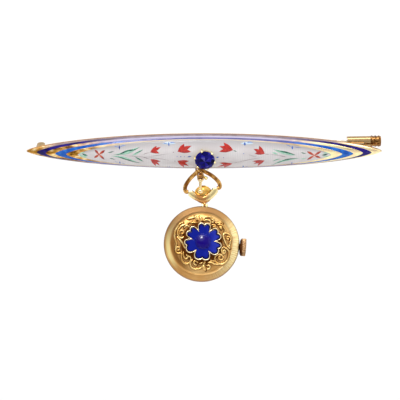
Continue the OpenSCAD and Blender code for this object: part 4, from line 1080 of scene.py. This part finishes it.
low, wide = crown["from"], crown["radius"]
top = low + crown["length"]
knobLine = [(0.8, low - 0.07), (0.8, low), (wide - 0.55, low), (wide - 0.3, low + 0.12),
            (wide - 0.1, low + 0.26), (wide, low + 0.34), (wide, top - 0.12), (wide - 0.03, top - 0.05),
            (wide - 0.1, top - 0.01), (wide - 0.3, top), (wide - 0.5, top - 0.05), (1.2, top - 0.07),
            (0, top - 0.03)]
knob = alongX(turnProfile(knobLine, crown["flutes"] * 10, crownWave))
makePiece("windingCrown", placedParts([knob], casePlace), "crown", crownGold,
          replaced=("crown",))
print("watch made")

# the nodes that stay
handBlue = plainFinish("handBlue", rgb(34, 52, 130), rgb(18, 26, 84), 0.22, 0.8)
for name, finish in (
    ("bar_dome", gold), ("catch_sleeve", catchGold), ("bar_back", backGold), ("pin_stem", pinMetal),
    ("bezel", caseGold), ("crystal", glassFinish()), ("hour_hand", handBlue), ("minute_hand", handBlue),
    ("dial", plainFinish("dialWhite", rgb(244, 242, 236), rgb(232, 228, 218), 0.35)),
    ("dial_markers", plainFinish("dialPrint", rgb(36, 32, 32), rgb(22, 20, 22), 0.4)),
):
    materials = nodes[name].data.materials
    materials.clear()
    materials.append(finish)

# stage: floor z = low in front, a quarter round, then the wall y = far; its sizes are in metres
stage = {"wall": 0.55, "floor": -0.42, "half": 3.0, "bend": 0.2}
a = np.linspace(0, pi / 2, 24)
half, bend, far, low = stage["half"], stage["bend"], stage["wall"], stage["floor"]
y = np.concatenate([[-half], far - bend + bend * np.sin(a), [far]])
z = np.concatenate([[low], low + bend - bend * np.cos(a), [half]])
points = np.stack(np.broadcast_arrays(np.array([[-half], [half]]), y, z), -1)
mesh = bpy.data.meshes.new("backdrop")
mesh.from_pydata(points.reshape(-1, 3).tolist(), [], gridFaces(*points.shape[:2]).tolist())
mesh.polygons.foreach_set("use_smooth", np.ones(len(mesh.polygons), bool))
sheet = bpy.data.objects.new("backdrop", mesh)
bpy.context.scene.collection.objects.link(sheet)
paper = Finish("palePaper", Roughness=0.9)
paper.set("Base Color", paper.mix(paper.noise(0.002), rgb(240, 240, 240), rgb(246, 246, 246)))
mesh.materials.append(paper.material)

# lights: place, aim, width and height, watts
centre = (0, 0, -0.012)
for name, at, aim, (width, height), watts in (
    ("softTop", (-0.07, -0.33, 0.24), (0, 0, -0.02), (0.1, 0.1), 0.55),
    ("softRight", (0.55, -0.35, 0.12), centre, (0.3, 0.5), 0.4),
    ("softLeft", (-0.6, -0.3, 0.1), centre, (0.2, 0.4), 0.2),
    ("wallLight", (0.0, -0.4, 0.9), (0, 0.55, 0.0), (1.2, 0.4), 6),
):
    lamp = bpy.data.lights.new(name, "AREA")
    lamp.shape, lamp.size, lamp.size_y, lamp.energy = "RECTANGLE", width, height, watts
    holder = bpy.data.objects.new(name, lamp)
    bpy.context.scene.collection.objects.link(holder)
    holder.location = at
    holder.rotation_mode = "QUATERNION"
    holder.rotation_quaternion = (Vector(aim) - Vector(at)).to_track_quat("-Z", "Y")


class Sky(Finish):
    # the room round the stage: pale above, dim in front and below, so that polished metal shows brown
    def __init__(self):
        world = bpy.data.worlds.new("studio")
        world.use_nodes = True
        bpy.context.scene.world = world
        self.tree = world.node_tree
        x, y, z = self.axes(self.node("ShaderNodeTexCoord").outputs["Generated"])
        room = self.ramp(
            z * 0.5 + x * 0.08 + 0.5, (0.0, (0.4, 0.4, 0.4, 1)), (0.36, (0.16, 0.15, 0.14, 1)),
            (0.47, (0.24, 0.23, 0.22, 1)), (0.56, (0.7, 0.7, 0.7, 1)), (0.75, (0.9, 0.9, 0.9, 1)),
            (1.0, (1.0, 1.0, 1.0, 1)))
        self.put(self.tree.nodes["Background"].inputs["Color"], room)


Sky()

# camera, far off on a long lens: frame is the width seen at the front of the watch
camera = {"lens": 100, "sensor": 36, "centreX": -0.96, "centreY": -11.1, "frame": 91.48, "front": 2.0,
          "near": 0.01, "far": 10}
lensData = bpy.data.cameras.new("camera")
lensData.lens, lensData.sensor_width = camera["lens"], camera["sensor"]
lensData.clip_start, lensData.clip_end = camera["near"], camera["far"]
lensData.dof.use_dof = False
viewer = bpy.data.objects.new("camera", lensData)
bpy.context.scene.collection.objects.link(viewer)
away = camera["frame"] * camera["lens"] / camera["sensor"] + camera["front"]
viewer.location = toWorld([camera["centreX"], camera["centreY"], away]).tolist()
viewer.rotation_euler = (pi / 2, 0, 0)
bpy.context.scene.camera = viewer
bpy.context.scene.view_settings.view_transform = "Standard"
